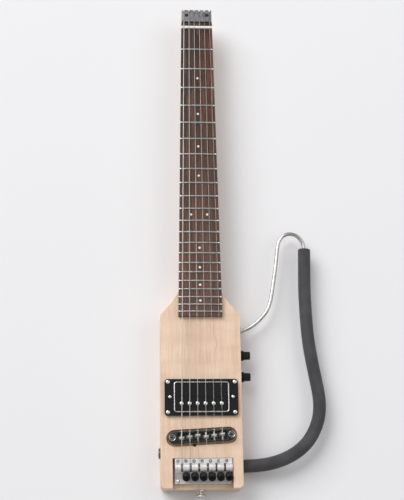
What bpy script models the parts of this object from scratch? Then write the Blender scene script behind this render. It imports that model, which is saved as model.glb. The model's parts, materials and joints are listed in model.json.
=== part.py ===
"""A headless travel guitar: one-piece maple body and neck, one humbucking pickup, a recessed bridge,
six geared tuners in a recess at the tail, and a bent rod lap rest with a foam sleeve.

It lies on its back. X runs across the strings towards the lap rest, Y runs from the tail to the
headpiece, and Z points from the flat back to the strings. The origin is on the back, on the centre
line, under the nominal end of the scale. Sizes are in millimetres and become metres in the helpers.
"""

import math

import bmesh
import bpy
from mathutils import Matrix, Vector

MM = 0.001

# Clearances
SEAT_GAP = 0.3
RUNNING_GAP = 0.3

# Scale and strings, bass to treble
SCALE_LENGTH = 558.8
FRET_COUNT = 22
STRING_COUNT = 6
STRING_RADII = (0.58, 0.45, 0.33, 0.21, 0.17, 0.14)
STRING_SPACING_NUT = 7.12
STRING_SPACING_BRIDGE = 10.2
STRING_HEIGHT_NUT = 47.9
STRING_HEIGHT_BRIDGE = 50.2
STRING_SIDES = 6

# Body
BODY_WIDTH = 102.5
BODY_THICKNESS = 40.0
TAIL_Y = -65.6
SHOULDER_Y = 153.4
HEEL_Y = 182.5
HEEL_HALF_WIDTH = 28.8
TAIL_CORNER_RADIUS = 5.5
BODY_EDGE_RADIUS = 2.5

# Neck
NECK_DEPTH = 16.0
HEEL_BLEND_LENGTH = 50.0

# Fingerboard
BOARD_THICKNESS = 6.0
BOARD_WIDTH_NUT = 42.8
BOARD_WIDTH_END = 56.4
BOARD_END_Y = 150.9
BOARD_RADIUS = 355.0
STRIP_LENGTH = 6.3
FRET_WIDTH = 2.4
FRET_HEIGHT = 1.0

# Nut
NUT_LENGTH = 3.5
NUT_WIDTH = 42.8
NUT_TOP = 48.5
NUT_SLOT_DEPTH = 4.0

# Headpiece
HEAD_WIDTH = 41.0
HEAD_LENGTH = 18.6
HEAD_HEIGHT = 6.9
HEAD_SLOT_WIDTH = 1.8
HEAD_SLOT_DEPTH = 4.2
BALL_RADIUS = 1.8
BALL_CUP_RADIUS = 2.3
BALL_INSET = 2.3
HEAD_SCREW_INSET = 10.1
HEAD_SCREW_RADIUS = 1.5
HEAD_SCREW_HEAD_RADIUS = 2.3
HEAD_SCREW_LENGTH = 15.0

# Truss rod
TRUSS_WIDTH = 5.8
TRUSS_DEPTH = 8.0
TRUSS_START_Y = 175.0
TRUSS_END_INSET = 16.8

# Pickup
RING_LENGTH = 92.6
RING_WIDTH = 46.0
RING_CENTRE_Y = 46.6
RING_HEIGHT = 4.0
RING_CORNER_RADIUS = 4.0
RING_SCREW_SPAN_X = 84.4
RING_SCREW_SPAN_Y = 38.2
RING_SCREW_HOLE_RADIUS = 1.6
COVER_LENGTH = 69.6
COVER_WIDTH = 38.7
COVER_TOP = 46.4
COVER_HEIGHT = 13.0
COVER_WALL = 1.3
COVER_CORNER_RADIUS = 3.6
BOBBIN_SINK = 0.5
MAGNET_LENGTH = 62.0
MAGNET_WIDTH = 12.0
MAGNET_HEIGHT = 3.2
BASEPLATE_THICKNESS = 1.5
EAR_HALF_SPAN = 43.0
EAR_WIDTH = 11.0
HEIGHT_SCREW_X = 39.6
HEIGHT_SCREW_RADIUS = 1.4
HEIGHT_SCREW_HEAD_RADIUS = 2.0
POLE_SPACING = 10.05
POLE_Y = 38.2
POLE_RADIUS = 2.4
POLE_HEIGHT = 0.6
PICKUP_POCKET_FLOOR = 20.0

# Bridge
POST_SPAN = 74.0
BRIDGE_CENTRE_Y = -2.4
BRIDGE_SLANT = math.radians(3.1)
BRIDGE_SLOT_END_SPACE = 2.9
BRIDGE_SLOT_SIDE_SPACE = 3.7
BRIDGE_SLOT_DEPTH = 8.0
BASE_LENGTH = 83.2
BASE_WIDTH = 13.6
BASE_BOTTOM = 37.2
BASE_TOP = 44.6
BASE_FLOOR = 1.6
BASE_POCKET_LENGTH = 62.0
BASE_POCKET_WIDTH = 10.4
INTONATION_SCREW_RADIUS = 1.1
INTONATION_SCREW_HEIGHT = 42.2
SADDLE_WIDTH = 7.0
SADDLE_LENGTH = 4.0
SADDLE_TRAVEL = 2.3
SADDLE_REST_OFFSETS = (-1.0, 0.0, 1.0, -1.0, 0.0, 0.9)
SADDLE_RIDGE_LENGTH = 0.8
STRING_BREAK_BEHIND_SADDLE = 3.6
POST_RADIUS = 2.8
POST_HEAD_RADIUS = 4.1
POST_HEAD_HEIGHT = 2.6
POST_LENGTH = 25.0
POST_SOCKET_RADIUS = 2.0
POST_SOCKET_DEPTH = 1.8
WIRE_HOLE_RADIUS = 2.4
WIRE_HOLE_X = -9.0
WIRE_HOLE_Y = -12.6

# Tuner recess and housing
RECESS_LEFT = -36.6
RECESS_START_Y = -28.7
RECESS_FLOOR = 24.0
HOUSING_LEFT = -33.7
HOUSING_RIGHT = 37.7
HOUSING_END_Y = -59.2
FRONT_TOP = 39.2
FRONT_THICKNESS = 6.3
LEDGE_TOP = 30.2
TUNER_FIRST_X = -25.0
TUNER_PITCH = 10.63
STRING_SLOT_WIDTH = 2.5
HUMP_RADIUS = 6.3
HUMP_WALL = 1.1
ROLLER_Y = -40.1
ROLLER_Z = 36.0
KNOB_TILT = math.radians(35.0)

# Tuner gears: a worm on each knob turns a wheel on each roller
WHEEL_TEETH = 12
WHEEL_PITCH_RADIUS = 4.4
WHEEL_ADDENDUM = 0.5
WHEEL_DEDENDUM = 0.65
WHEEL_WIDTH = 2.2
WHEEL_OFFSET = 5.3
WORM_PITCH_RADIUS = 2.6
WORM_ADDENDUM = 0.42
WORM_DEDENDUM = 0.7
WORM_LENGTH = 7.4
WORM_COLUMNS = 10
WORM_ROWS_PER_TURN = 5
TOOTH_SHARE = 0.34
DRUM_RADIUS = 3.2
HUB_RADIUS = 2.6
AXLE_RADIUS = 1.5
BANK_HEIGHT = 3.2
TUNER_KNOB_RADIUS = 5.0
TUNER_KNOB_LENGTH = 7.8
TUNER_KNOB_START = 6.3
TUNER_KNOB_SIDES = 14
HEX_SOCKET_RADIUS = 1.5
HEX_SOCKET_DEPTH = 2.0
HOUSING_SCREW_RADIUS = 1.4

# Controls on the treble side
CONTROL_Z = 20.0
VOLUME_Y = 103.9
TONE_Y = 76.1
CONTROL_WALL = 5.25
POT_RADIUS = 8.0
POT_DEPTH = 8.0
POT_BUSHING_RADIUS = 3.6
POT_SHAFT_RADIUS = 2.9
KNOB_SKIRT_RADIUS = 6.75
KNOB_SKIRT_HEIGHT = 2.3
KNOB_BASE_RADIUS = 5.0
KNOB_TOP_RADIUS = 4.6
KNOB_HEIGHT = 12.5
KNOB_FLUTES = 10
KNOB_FLUTE_RADIUS = 0.5
CAVITY_LEFT = 14.0
CAVITY_START_Y = 60.0
CAVITY_END_Y = 114.0
CAVITY_ROOF = 34.0
CAVITY_LIP = 4.5
CAVITY_CORNER_RADIUS = 6.0
COVER_PLATE_THICKNESS = 2.0

# Output jack on the bass side
JACK_Y = -20.5
JACK_Z = 18.0
JACK_BARREL_RADIUS = 5.4
JACK_BARREL_LENGTH = 29.0
JACK_THREAD_RADIUS = 4.6
JACK_SOCKET_RADIUS = 3.25
JACK_SOCKET_DEPTH = 26.0
JACK_NUT_RADIUS = 6.7
JACK_NUT_HEIGHT = 2.0
JACK_THREAD_REACH = 2.5

# Strap button at the tail
BUTTON_X = -0.8
BUTTON_Z = 15.0
BUTTON_BASE_RADIUS = 6.1
BUTTON_WAIST_RADIUS = 2.9
BUTTON_TOP_RADIUS = 6.8
BUTTON_HEIGHT = 8.2
BUTTON_BORE_RADIUS = 2.3
BUTTON_SCREW_RADIUS = 2.0
BUTTON_SCREW_HEAD_RADIUS = 3.6
BUTTON_SCREW_LENGTH = 27.0

# Lap rest
REST_Z = 18.0
REST_ROD_RADIUS = 2.5
REST_SLEEVE_RADIUS = 8.25
REST_PIN_LENGTH = 18.0
REST_SOCKET_WALL = 1.2
REST_UPPER_Y = 135.3
REST_LOWER_Y = -37.0

# Wiring
LEAD_RADIUS = 1.1
CHANNEL_RADIUS = 2.5
CHANNEL_X = -24.0

# Places that follow from the sizes above
BODY_HALF = BODY_WIDTH / 2
BOARD_BOTTOM = BODY_THICKNESS + SEAT_GAP
BOARD_TOP = BOARD_BOTTOM + BOARD_THICKNESS - SEAT_GAP
NUT_Y = SCALE_LENGTH
STRIP_END_Y = NUT_Y + NUT_LENGTH + STRIP_LENGTH
HEAD_START_Y = STRIP_END_Y + SEAT_GAP
NECK_END_Y = HEAD_START_Y + HEAD_LENGTH
HEAD_SCREW_Y = HEAD_START_Y + HEAD_SCREW_INSET
TRUSS_END_Y = NUT_Y - TRUSS_END_INSET
BRIDGE_SLOT_LENGTH = BASE_LENGTH + 2 * BRIDGE_SLOT_END_SPACE
BRIDGE_SLOT_WIDTH = BASE_WIDTH + 2 * BRIDGE_SLOT_SIDE_SPACE
HEAD_BOTTOM = BODY_THICKNESS + SEAT_GAP
HEAD_TOP = HEAD_BOTTOM + HEAD_HEIGHT
RECESS_RIGHT = (TUNER_FIRST_X + TUNER_PITCH * (STRING_COUNT - 1) + WHEEL_OFFSET
                + TUNER_KNOB_RADIUS + RUNNING_GAP)
HOUSING_BOTTOM = RECESS_FLOOR + SEAT_GAP
HOUSING_START_Y = RECESS_START_Y - SEAT_GAP
GEAR_CENTRES = WHEEL_PITCH_RADIUS + WORM_PITCH_RADIUS
GEAR_PITCH = 2 * math.pi * WHEEL_PITCH_RADIUS / WHEEL_TEETH
KNOB_AXIS = Vector((0, -math.sin(KNOB_TILT), math.cos(KNOB_TILT)))
TAILWARD = Vector((0, -math.cos(KNOB_TILT), -math.sin(KNOB_TILT)))
CAVITY_RIGHT = BODY_HALF - CONTROL_WALL
COVER_BOTTOM = COVER_TOP - COVER_HEIGHT
MAGNET_BOTTOM = COVER_BOTTOM - MAGNET_HEIGHT
BASEPLATE_BOTTOM = MAGNET_BOTTOM - SEAT_GAP - BASEPLATE_THICKNESS
ROUND_SIDES = 16
SMALL_SIDES = 10


def start_scene():
    """Clears the scene and makes the two collections."""
    for old in list(bpy.data.objects):
        bpy.data.objects.remove(old, do_unlink=True)
    made = []
    for name in ("travel_guitar", "cutters"):
        collection = bpy.data.collections.new(name)
        bpy.context.scene.collection.children.link(collection)
        made.append(collection)
    return made


GUITAR, CUTTERS = start_scene()


def material(name, colour, roughness, metallic=0.0):
    made = bpy.data.materials.new(name)
    made.use_nodes = True
    shader = made.node_tree.nodes["Principled BSDF"]
    shader.inputs["Base Color"].default_value = (*colour, 1.0)
    shader.inputs["Roughness"].default_value = roughness
    shader.inputs["Metallic"].default_value = metallic
    return made


MAPLE = material("maple", (0.78, 0.60, 0.43), 0.5)
ROSEWOOD = material("rosewood", (0.10, 0.045, 0.03), 0.5)
BONE = material("bone", (0.88, 0.86, 0.80), 0.35)
CAST_METAL = material("cast_metal", (0.62, 0.62, 0.63), 0.38, 1.0)
DARK_METAL = material("dark_metal", (0.10, 0.11, 0.11), 0.4, 0.8)
NICKEL = material("nickel", (0.75, 0.73, 0.69), 0.22, 1.0)
STEEL = material("steel", (0.63, 0.62, 0.60), 0.25, 1.0)
BRASS = material("brass", (0.55, 0.40, 0.20), 0.35, 1.0)
WOUND = material("wound_string", (0.50, 0.40, 0.30), 0.4, 1.0)
BLACK_PLASTIC = material("black_plastic", (0.012, 0.012, 0.013), 0.35)
FOAM = material("foam", (0.048, 0.048, 0.052), 0.9)
INSULATION = material("insulation", (0.02, 0.02, 0.02), 0.5)


def metres(*values):
    return Vector(value * MM for value in values)


def place(obj, at=(0, 0, 0), turn=(0, 0, 0)):
    obj.location = metres(*at)
    obj.rotation_euler = turn
    return obj


def add_object(name, mesh, finish=None):
    """Links a mesh as a part, or as a cutter when it has no finish."""
    obj = bpy.data.objects.new(name, mesh)
    if finish is None:
        CUTTERS.objects.link(obj)
        obj.hide_render = True
        obj.display_type = "WIRE"
    else:
        GUITAR.objects.link(obj)
        mesh.materials.append(finish)
    return obj


def from_bmesh(name, bm, finish=None, smooth=False):
    bmesh.ops.recalc_face_normals(bm, faces=bm.faces)
    mesh = bpy.data.meshes.new(name)
    bm.to_mesh(mesh)
    bm.free()
    if smooth:
        mesh.shade_smooth()
        mesh.set_sharp_from_angle(angle=math.radians(35))
    return add_object(name, mesh, finish)


def block(name, low, high, finish=None):
    """A box between two corners."""
    low, high = Vector(low), Vector(high)
    size = high - low
    bm = bmesh.new()
    fit = Matrix.Translation((low + high) / 2 * MM) @ Matrix.Diagonal((*(size * MM), 1))
    bmesh.ops.create_cube(bm, size=1, matrix=fit)
    return from_bmesh(name, bm, finish)


def rod(name, radius, start, end, finish=None, sides=ROUND_SIDES, end_radius=None):
    """A cylinder or cone between two points."""
    start, end = Vector(start), Vector(end)
    along = end - start
    turn = along.to_track_quat("Z", "Y").to_matrix().to_4x4()
    bm = bmesh.new()
    bmesh.ops.create_cone(
        bm,
        cap_ends=True,
        segments=sides,
        radius1=radius * MM,
        radius2=(radius if end_radius is None else end_radius) * MM,
        depth=along.length * MM,
        matrix=Matrix.Translation((start + end) / 2 * MM) @ turn,
    )
    return from_bmesh(name, bm, finish, smooth=True)


def baked(name, obj, finish=None, weld=1e-6):
    """The evaluated mesh of a curve or a modified object, as a new mesh object in its place."""
    bpy.context.view_layer.update()
    graph = bpy.context.evaluated_depsgraph_get()
    mesh = bpy.data.meshes.new_from_object(obj.evaluated_get(graph))
    mesh.materials.clear()
    bm = bmesh.new()
    bm.from_mesh(mesh)
    bmesh.ops.remove_doubles(bm, verts=bm.verts, dist=weld)
    bmesh.ops.recalc_face_normals(bm, faces=bm.faces)
    bm.to_mesh(mesh)
    bm.free()
    made = add_object(name, mesh, finish)
    made.matrix_world = obj.matrix_world
    bpy.data.objects.remove(obj, do_unlink=True)
    return made


def plate(name, points, bottom, top, finish=None):
    """A flat outline given in X and Y, as thick as the height from bottom to top."""
    curve = bpy.data.curves.new(name, "CURVE")
    curve.dimensions = "2D"
    curve.fill_mode = "BOTH"
    curve.extrude = (top - bottom) / 2 * MM
    spline = curve.splines.new("POLY")
    spline.points.add(len(points) - 1)
    for point, (x, y) in zip(spline.points, points):
        point.co = (x * MM, y * MM, 0, 1)
    spline.use_cyclic_u = True
    guide = bpy.data.objects.new(name + "_outline", curve)
    CUTTERS.objects.link(guide)
    guide.location.z = (bottom + top) / 2 * MM
    return baked(name, guide, finish)


def tube(name, points, radius, finish=None, resolution=2):
    """A round wire along points, with filled ends."""
    curve = bpy.data.curves.new(name, "CURVE")
    curve.dimensions = "3D"
    curve.bevel_depth = radius * MM
    curve.bevel_resolution = resolution
    curve.use_fill_caps = True
    spline = curve.splines.new("POLY")
    spline.points.add(len(points) - 1)
    for point, place_mm in zip(spline.points, points):
        point.co = (*metres(*place_mm), 1)
    guide = bpy.data.objects.new(name + "_path", curve)
    CUTTERS.objects.link(guide)
    made = baked(name, guide, finish)
    made.data.shade_smooth()
    made.data.set_sharp_from_angle(angle=math.radians(50))
    return made


def turned(name, profile, finish=None, sides=ROUND_SIDES):
    """A turned piece about Z from (radius, height) points, listed down the outside from the top."""
    bm = bmesh.new()
    closed = profile[0] == profile[-1]
    corners = [bm.verts.new(metres(radius, 0, height)) for radius, height in profile[closed:]]
    if closed:
        corners.insert(0, corners[-1])
    for first, second in zip(corners, corners[1:]):
        bm.edges.new((first, second))
    mesh = bpy.data.meshes.new(name)
    bm.to_mesh(mesh)
    bm.free()
    obj = add_object(name, mesh, finish)
    screw = obj.modifiers.new("turn", "SCREW")
    screw.steps = sides
    screw.render_steps = sides
    screw.use_merge_vertices = True
    screw.merge_threshold = 1e-6
    screw.use_smooth_shade = False
    return obj


def arc(centre, radius, start, end, steps):
    """Points on an arc, with the angles in degrees."""
    angles = [math.radians(start + (end - start) * i / steps) for i in range(steps + 1)]
    return [(centre[0] + radius * math.cos(a), centre[1] + radius * math.sin(a)) for a in angles]


def rounded_rectangle(left, right, low, high, radius, steps=4):
    centres = (
        (right - radius, high - radius, 0),
        (left + radius, high - radius, 90),
        (left + radius, low + radius, 180),
        (right - radius, low + radius, 270),
    )
    points = []
    for x, y, start in centres:
        points += arc((x, y), radius, start, start + 90, steps)
    return points


def stadium(length, width, steps=8):
    radius = width / 2
    reach = length / 2 - radius
    return arc((reach, 0), radius, -90, 90, steps) + arc((-reach, 0), radius, 90, 270, steps)


def slanted(x, y):
    """A point given in the bridge's own directions, as a place on the body."""
    cos, sin = math.cos(BRIDGE_SLANT), math.sin(BRIDGE_SLANT)
    return x * cos - y * sin, BRIDGE_CENTRE_Y + x * sin + y * cos


def boolean(obj, other, operation):
    step = obj.modifiers.new(other.name, "BOOLEAN")
    step.operation = operation
    step.object = other
    step.solver = "EXACT"


def carve(obj, *cutters):
    for cutter in cutters:
        boolean(obj, cutter, "DIFFERENCE")
    return obj


def fuse(obj, *others):
    for other in others:
        boolean(obj, other, "UNION")
    return obj


def round_edges(obj, width, segments=2, degrees=60):
    bevel = obj.modifiers.new("round_edges", "BEVEL")
    bevel.width = width * MM
    bevel.segments = segments
    bevel.limit_method = "ANGLE"
    bevel.angle_limit = math.radians(degrees)
    return obj


def loft(name, sections, finish=None):
    """Joins closed sections, each a list of points, into one body with flat ends."""
    bm = bmesh.new()
    rings = [[bm.verts.new(metres(*point)) for point in section] for section in sections]
    for ring, following in zip(rings, rings[1:]):
        count = len(ring)
        for i in range(count):
            j = (i + 1) % count
            bm.faces.new((ring[i], ring[j], following[j], following[i]))
    bm.faces.new(rings[0])
    bm.faces.new(rings[-1])
    return from_bmesh(name, bm, finish)


def smooth_path(points, per_span):
    """Points along a Catmull-Rom curve through the given points."""
    knots = [Vector(point) for point in points]
    knots = [2 * knots[0] - knots[1], *knots, 2 * knots[-1] - knots[-2]]
    found = []
    for a, b, c, d in zip(knots, knots[1:], knots[2:], knots[3:]):
        for i in range(per_span):
            t = i / per_span
            found.append(
                0.5 * (2 * b + (c - a) * t + (2 * a - 5 * b + 4 * c - d) * t**2
                       + (3 * b - a - 3 * c + d) * t**3)
            )
    found.append(knots[-2])
    return [tuple(point) for point in found]


# Places along the strings


def board_half_width(y):
    share = (NUT_Y - y) / (NUT_Y - BOARD_END_Y)
    return (BOARD_WIDTH_NUT + (BOARD_WIDTH_END - BOARD_WIDTH_NUT) * share) / 2


def fret_y(number):
    return SCALE_LENGTH / 2 ** (number / 12)


def string_place(number, spacing):
    """X of a string, counted from 0 at the bass side, where the strings stand this far apart."""
    return (number - (STRING_COUNT - 1) / 2) * spacing


def bridge_y(x):
    return BRIDGE_CENTRE_Y + math.tan(BRIDGE_SLANT) * x


def saddle_centre(number):
    """Where a saddle's ridge crosses its string at rest."""
    x = string_place(number, STRING_SPACING_BRIDGE)
    shift = SADDLE_REST_OFFSETS[number]
    return x - math.sin(BRIDGE_SLANT) * shift, bridge_y(x) + math.cos(BRIDGE_SLANT) * shift


def slot_x(number):
    return TUNER_FIRST_X + TUNER_PITCH * number


# Wood


def body_outline():
    """Half of the outline from the tail to the heel on the treble side, then mirrored."""
    corner = TAIL_CORNER_RADIUS
    side = arc((BODY_HALF - corner, TAIL_Y + corner), corner, -90, 0, 4)
    side += [
        (BODY_HALF, SHOULDER_Y - 1.5),
        (BODY_HALF - 0.6, SHOULDER_Y + 1.2),
        ((BODY_HALF + HEEL_HALF_WIDTH) / 2 - 0.7, (SHOULDER_Y + HEEL_Y) / 2 - 0.7),
        (HEEL_HALF_WIDTH + 0.8, HEEL_Y - 1.6),
        (HEEL_HALF_WIDTH - 0.6, HEEL_Y + 2.5),
    ]
    return side + [(-x, y) for x, y in reversed(side)]


def neck_section(y, depth, squareness):
    """A D-shaped section with a flat top, rounder where squareness is near 2."""
    half = board_half_width(y)
    points = []
    steps = 12
    for i in range(steps + 1):
        angle = math.pi * i / steps
        across = math.cos(angle)
        x = half * math.copysign(abs(across) ** (2 / squareness), across)
        z = BODY_THICKNESS - depth * math.sin(angle) ** (2 / squareness)
        points.append((x, y, z))
    return points


def make_neck():
    heel_depth = BODY_THICKNESS - 2.0
    blend = HEEL_BLEND_LENGTH
    stations = (
        (BOARD_END_Y, heel_depth, 7.0),
        (HEEL_Y, heel_depth, 7.0),
        (HEEL_Y + 0.14 * blend, 0.90 * heel_depth, 5.5),
        (HEEL_Y + 0.40 * blend, 0.66 * heel_depth, 3.8),
        (HEEL_Y + 0.70 * blend, 0.49 * heel_depth, 2.8),
        (HEEL_Y + blend, NECK_DEPTH + 1.2, 2.4),
        (fret_y(12), NECK_DEPTH, 2.2),
        (fret_y(3), NECK_DEPTH - 1.0, 2.2),
        (NUT_Y, NECK_DEPTH - 1.5, 2.2),
        (NECK_END_Y, NECK_DEPTH - 1.5, 2.4),
    )
    return loft("neck_blank", [neck_section(*station) for station in stations])


def body_cutters():
    """Every pocket, bore and channel in the wood."""
    top = BODY_THICKNESS + 5
    cover_half_x = COVER_LENGTH / 2 + 0.6
    cover_half_y = COVER_WIDTH / 2 + 0.6
    yield plate("pickup_pocket", rounded_rectangle(
        -cover_half_x, cover_half_x, RING_CENTRE_Y - cover_half_y, RING_CENTRE_Y + cover_half_y,
        COVER_CORNER_RADIUS), PICKUP_POCKET_FLOOR, top)
    ear_x = EAR_HALF_SPAN + 0.6
    ear_y = EAR_WIDTH / 2 + 1.0
    yield block("pickup_ear_pocket", (-ear_x, RING_CENTRE_Y - ear_y, PICKUP_POCKET_FLOOR - 0.2),
                (ear_x, RING_CENTRE_Y + ear_y, top))
    bridge_slot = plate("bridge_slot", stadium(BRIDGE_SLOT_LENGTH, BRIDGE_SLOT_WIDTH),
                        BODY_THICKNESS - BRIDGE_SLOT_DEPTH, top)
    bridge_slot.location += metres(0, BRIDGE_CENTRE_Y, 0)
    bridge_slot.rotation_euler.z = BRIDGE_SLANT
    yield bridge_slot
    for side in (-1, 1):
        x, y = slanted(side * POST_SPAN / 2, 0)
        low = BASE_BOTTOM - POST_LENGTH + 4
        yield rod("post_bore", POST_RADIUS + SEAT_GAP, (x, y, low), (x, y, BODY_THICKNESS),
                  sides=SMALL_SIDES)
    yield rod("wire_hole", WIRE_HOLE_RADIUS, (WIRE_HOLE_X, WIRE_HOLE_Y, PICKUP_POCKET_FLOOR),
              (WIRE_HOLE_X, WIRE_HOLE_Y, top), sides=SMALL_SIDES)
    yield block("tuner_recess", (RECESS_LEFT, TAIL_Y - 5, RECESS_FLOOR),
                (RECESS_RIGHT, RECESS_START_Y, top))
    yield block("control_cavity", (CAVITY_LEFT, CAVITY_START_Y, -5),
                (CAVITY_RIGHT, CAVITY_END_Y, CAVITY_ROOF))
    lip = CAVITY_LIP + SEAT_GAP
    yield plate("cover_recess", rounded_rectangle(
        CAVITY_LEFT - lip, BODY_HALF - 3.2, CAVITY_START_Y - lip, CAVITY_END_Y + lip,
        CAVITY_CORNER_RADIUS), -5, COVER_PLATE_THICKNESS + 2 * SEAT_GAP)
    for y in (VOLUME_Y, TONE_Y):
        yield rod("pot_bore", POT_BUSHING_RADIUS + SEAT_GAP, (CAVITY_RIGHT - 2, y, CONTROL_Z),
                  (BODY_HALF + 5, y, CONTROL_Z), sides=ROUND_SIDES)
    yield rod("jack_bore", JACK_BARREL_RADIUS + SEAT_GAP, (-BODY_HALF - 5, JACK_Y, JACK_Z),
              (-BODY_HALF + JACK_BARREL_LENGTH + 2, JACK_Y, JACK_Z))
    yield rod("wire_channel", CHANNEL_RADIUS, (CHANNEL_X, JACK_Y, PICKUP_POCKET_FLOOR + 1),
              (CHANNEL_X, RING_CENTRE_Y - COVER_WIDTH / 2 + 3, PICKUP_POCKET_FLOOR + 3.2),
              sides=SMALL_SIDES)
    yield block("truss_channel",
                (-TRUSS_WIDTH / 2 - SEAT_GAP, TRUSS_START_Y - SEAT_GAP,
                 BODY_THICKNESS - TRUSS_DEPTH - 2 * SEAT_GAP),
                (TRUSS_WIDTH / 2 + SEAT_GAP, TRUSS_END_Y + SEAT_GAP, top))
    socket_radius = REST_ROD_RADIUS + RUNNING_GAP + REST_SOCKET_WALL + SEAT_GAP
    for y in (REST_UPPER_Y, REST_LOWER_Y):
        yield rod("rest_bore", socket_radius, (BODY_HALF - REST_PIN_LENGTH - 2, y, REST_Z),
                  (BODY_HALF + 5, y, REST_Z))
    yield rod("button_bore", BUTTON_SCREW_RADIUS + SEAT_GAP, (BUTTON_X, TAIL_Y - 5, BUTTON_Z),
              (BUTTON_X, TAIL_Y - BUTTON_HEIGHT + BUTTON_SCREW_LENGTH + 1, BUTTON_Z),
              sides=SMALL_SIDES)
    for x in head_screw_places():
        yield rod("head_screw_bore", HEAD_SCREW_RADIUS + SEAT_GAP,
                  (x, HEAD_SCREW_Y, HEAD_TOP - HEAD_SCREW_LENGTH - 1), (x, HEAD_SCREW_Y, top),
                  sides=SMALL_SIDES)
    for x in housing_screw_places():
        yield rod("housing_screw_bore", HOUSING_SCREW_RADIUS + SEAT_GAP,
                  (x, HOUSING_END_Y + 3, RECESS_FLOOR - 12), (x, HOUSING_END_Y + 3, top),
                  sides=SMALL_SIDES)


def make_body():
    body = plate("maple_body", body_outline(), 0, BODY_THICKNESS, MAPLE)
    round_edges(body, BODY_EDGE_RADIUS)
    fuse(body, make_neck())
    carve(body, *body_cutters())


def board_sections():
    """Sections along the fingerboard, four at each fret, so that the frets stand out of the top."""
    stops = [(BOARD_END_Y, 0.0)]
    for number in range(FRET_COUNT, 0, -1):
        y = fret_y(number)
        half = FRET_WIDTH / 2
        stops += [(y - half, 0.0), (y - half / 2, FRET_HEIGHT),
                  (y + half / 2, FRET_HEIGHT), (y + half, 0.0)]
    stops.append((STRIP_END_Y - SEAT_GAP, 0.0))
    sections = []
    for y, lift in stops:
        half = board_half_width(y)
        across = [half * share for share in (1, 0.55, 0, -0.55, -1)]
        top = [(x, y, BOARD_TOP + lift - x * x / (2 * BOARD_RADIUS)) for x in across]
        sections.append([(half, y, BOARD_BOTTOM), *top, (-half, y, BOARD_BOTTOM)])
    return sections


def make_fingerboard():
    board = loft("fingerboard", board_sections(), ROSEWOOD)
    nut_slot = block("nut_slot", (-BODY_HALF, NUT_Y - SEAT_GAP, BOARD_TOP - NUT_SLOT_DEPTH),
                     (BODY_HALF, NUT_Y + NUT_LENGTH + SEAT_GAP, BOARD_TOP + 5))
    carve(board, nut_slot)


def make_nut():
    bottom = BOARD_TOP - NUT_SLOT_DEPTH + SEAT_GAP
    nut = block("nut", (-NUT_WIDTH / 2, NUT_Y, bottom),
                (NUT_WIDTH / 2, NUT_Y + NUT_LENGTH, NUT_TOP), BONE)
    round_edges(nut, 0.4, segments=1)
    for number, radius in enumerate(STRING_RADII):
        x = string_place(number, STRING_SPACING_NUT)
        half = radius + SEAT_GAP
        carve(nut, block("nut_notch", (x - half, NUT_Y - 2, STRING_HEIGHT_NUT - half),
                         (x + half, NUT_Y + NUT_LENGTH + 2, NUT_TOP + 2)))


def make_truss_rod():
    bottom = BODY_THICKNESS - TRUSS_DEPTH - SEAT_GAP
    half = TRUSS_WIDTH / 2
    bar = block("truss_rod", (-half, TRUSS_START_Y, bottom),
                (half, TRUSS_END_Y, BODY_THICKNESS - SEAT_GAP), STEEL)
    anchor = 12.0
    slot = block("truss_gap", (-half - 1, TRUSS_START_Y + anchor, bottom + 0.42 * TRUSS_DEPTH),
                 (half + 1, TRUSS_END_Y - anchor, bottom + 0.58 * TRUSS_DEPTH))
    carve(bar, slot)


# Headpiece


def head_screw_places():
    return [side * 2 * STRING_SPACING_NUT for side in (-1, 1)]


def make_headpiece():
    head = block("headpiece", (-HEAD_WIDTH / 2, HEAD_START_Y + SEAT_GAP, HEAD_BOTTOM),
                 (HEAD_WIDTH / 2, NECK_END_Y, HEAD_TOP), CAST_METAL)
    round_edges(head, 0.7)
    floor = HEAD_TOP - HEAD_SLOT_DEPTH
    for number in range(STRING_COUNT):
        x = string_place(number, STRING_SPACING_NUT)
        half = HEAD_SLOT_WIDTH / 2
        carve(head, block("head_slot", (x - half, HEAD_START_Y - 5, floor),
                          (x + half, NECK_END_Y - BALL_INSET, HEAD_TOP + 5)))
        carve(head, rod("ball_cup", BALL_CUP_RADIUS, (x, NECK_END_Y - BALL_INSET + 0.6, floor - 0.6),
                        (x, NECK_END_Y - BALL_INSET + 0.6, HEAD_TOP + 5), sides=SMALL_SIDES))
    names = ("headpiece_screw_bass", "headpiece_screw_treble")
    for name, x in zip(names, head_screw_places()):
        carve(head, rod("head_hole", HEAD_SCREW_RADIUS + SEAT_GAP, (x, HEAD_SCREW_Y, 0),
                        (x, HEAD_SCREW_Y, HEAD_TOP + 5), sides=SMALL_SIDES))
        sink = HEAD_SCREW_HEAD_RADIUS + SEAT_GAP
        carve(head, rod("head_counterbore", sink, (x, HEAD_SCREW_Y, HEAD_TOP - 2.4),
                        (x, HEAD_SCREW_Y, HEAD_TOP + 5), sides=SMALL_SIDES))
        make_screw(name, (x, HEAD_SCREW_Y, HEAD_TOP - 0.3), HEAD_SCREW_RADIUS,
                   HEAD_SCREW_HEAD_RADIUS, HEAD_SCREW_LENGTH, 1.7, DARK_METAL)


def make_screw(name, top, radius, head_radius, length, head_height, finish, socket=True):
    """A screw that points down, from the top of its head, with a cross or hex recess."""
    chamfer = 0.25 * head_height
    screw = turned(name, [
        (0, 0), (head_radius - chamfer, 0), (head_radius, -chamfer), (head_radius, -head_height),
        (radius, -head_height), (radius, -length + radius), (0, -length)],
        finish, sides=SMALL_SIDES)
    place(screw, top)
    if socket:
        cutter = rod(name + "_socket", 0.5 * head_radius, (0, 0, -0.6 * head_height), (0, 0, 2),
                     sides=6)
        place(cutter, top)
        carve(screw, cutter)
    return screw


# Pickup


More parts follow.
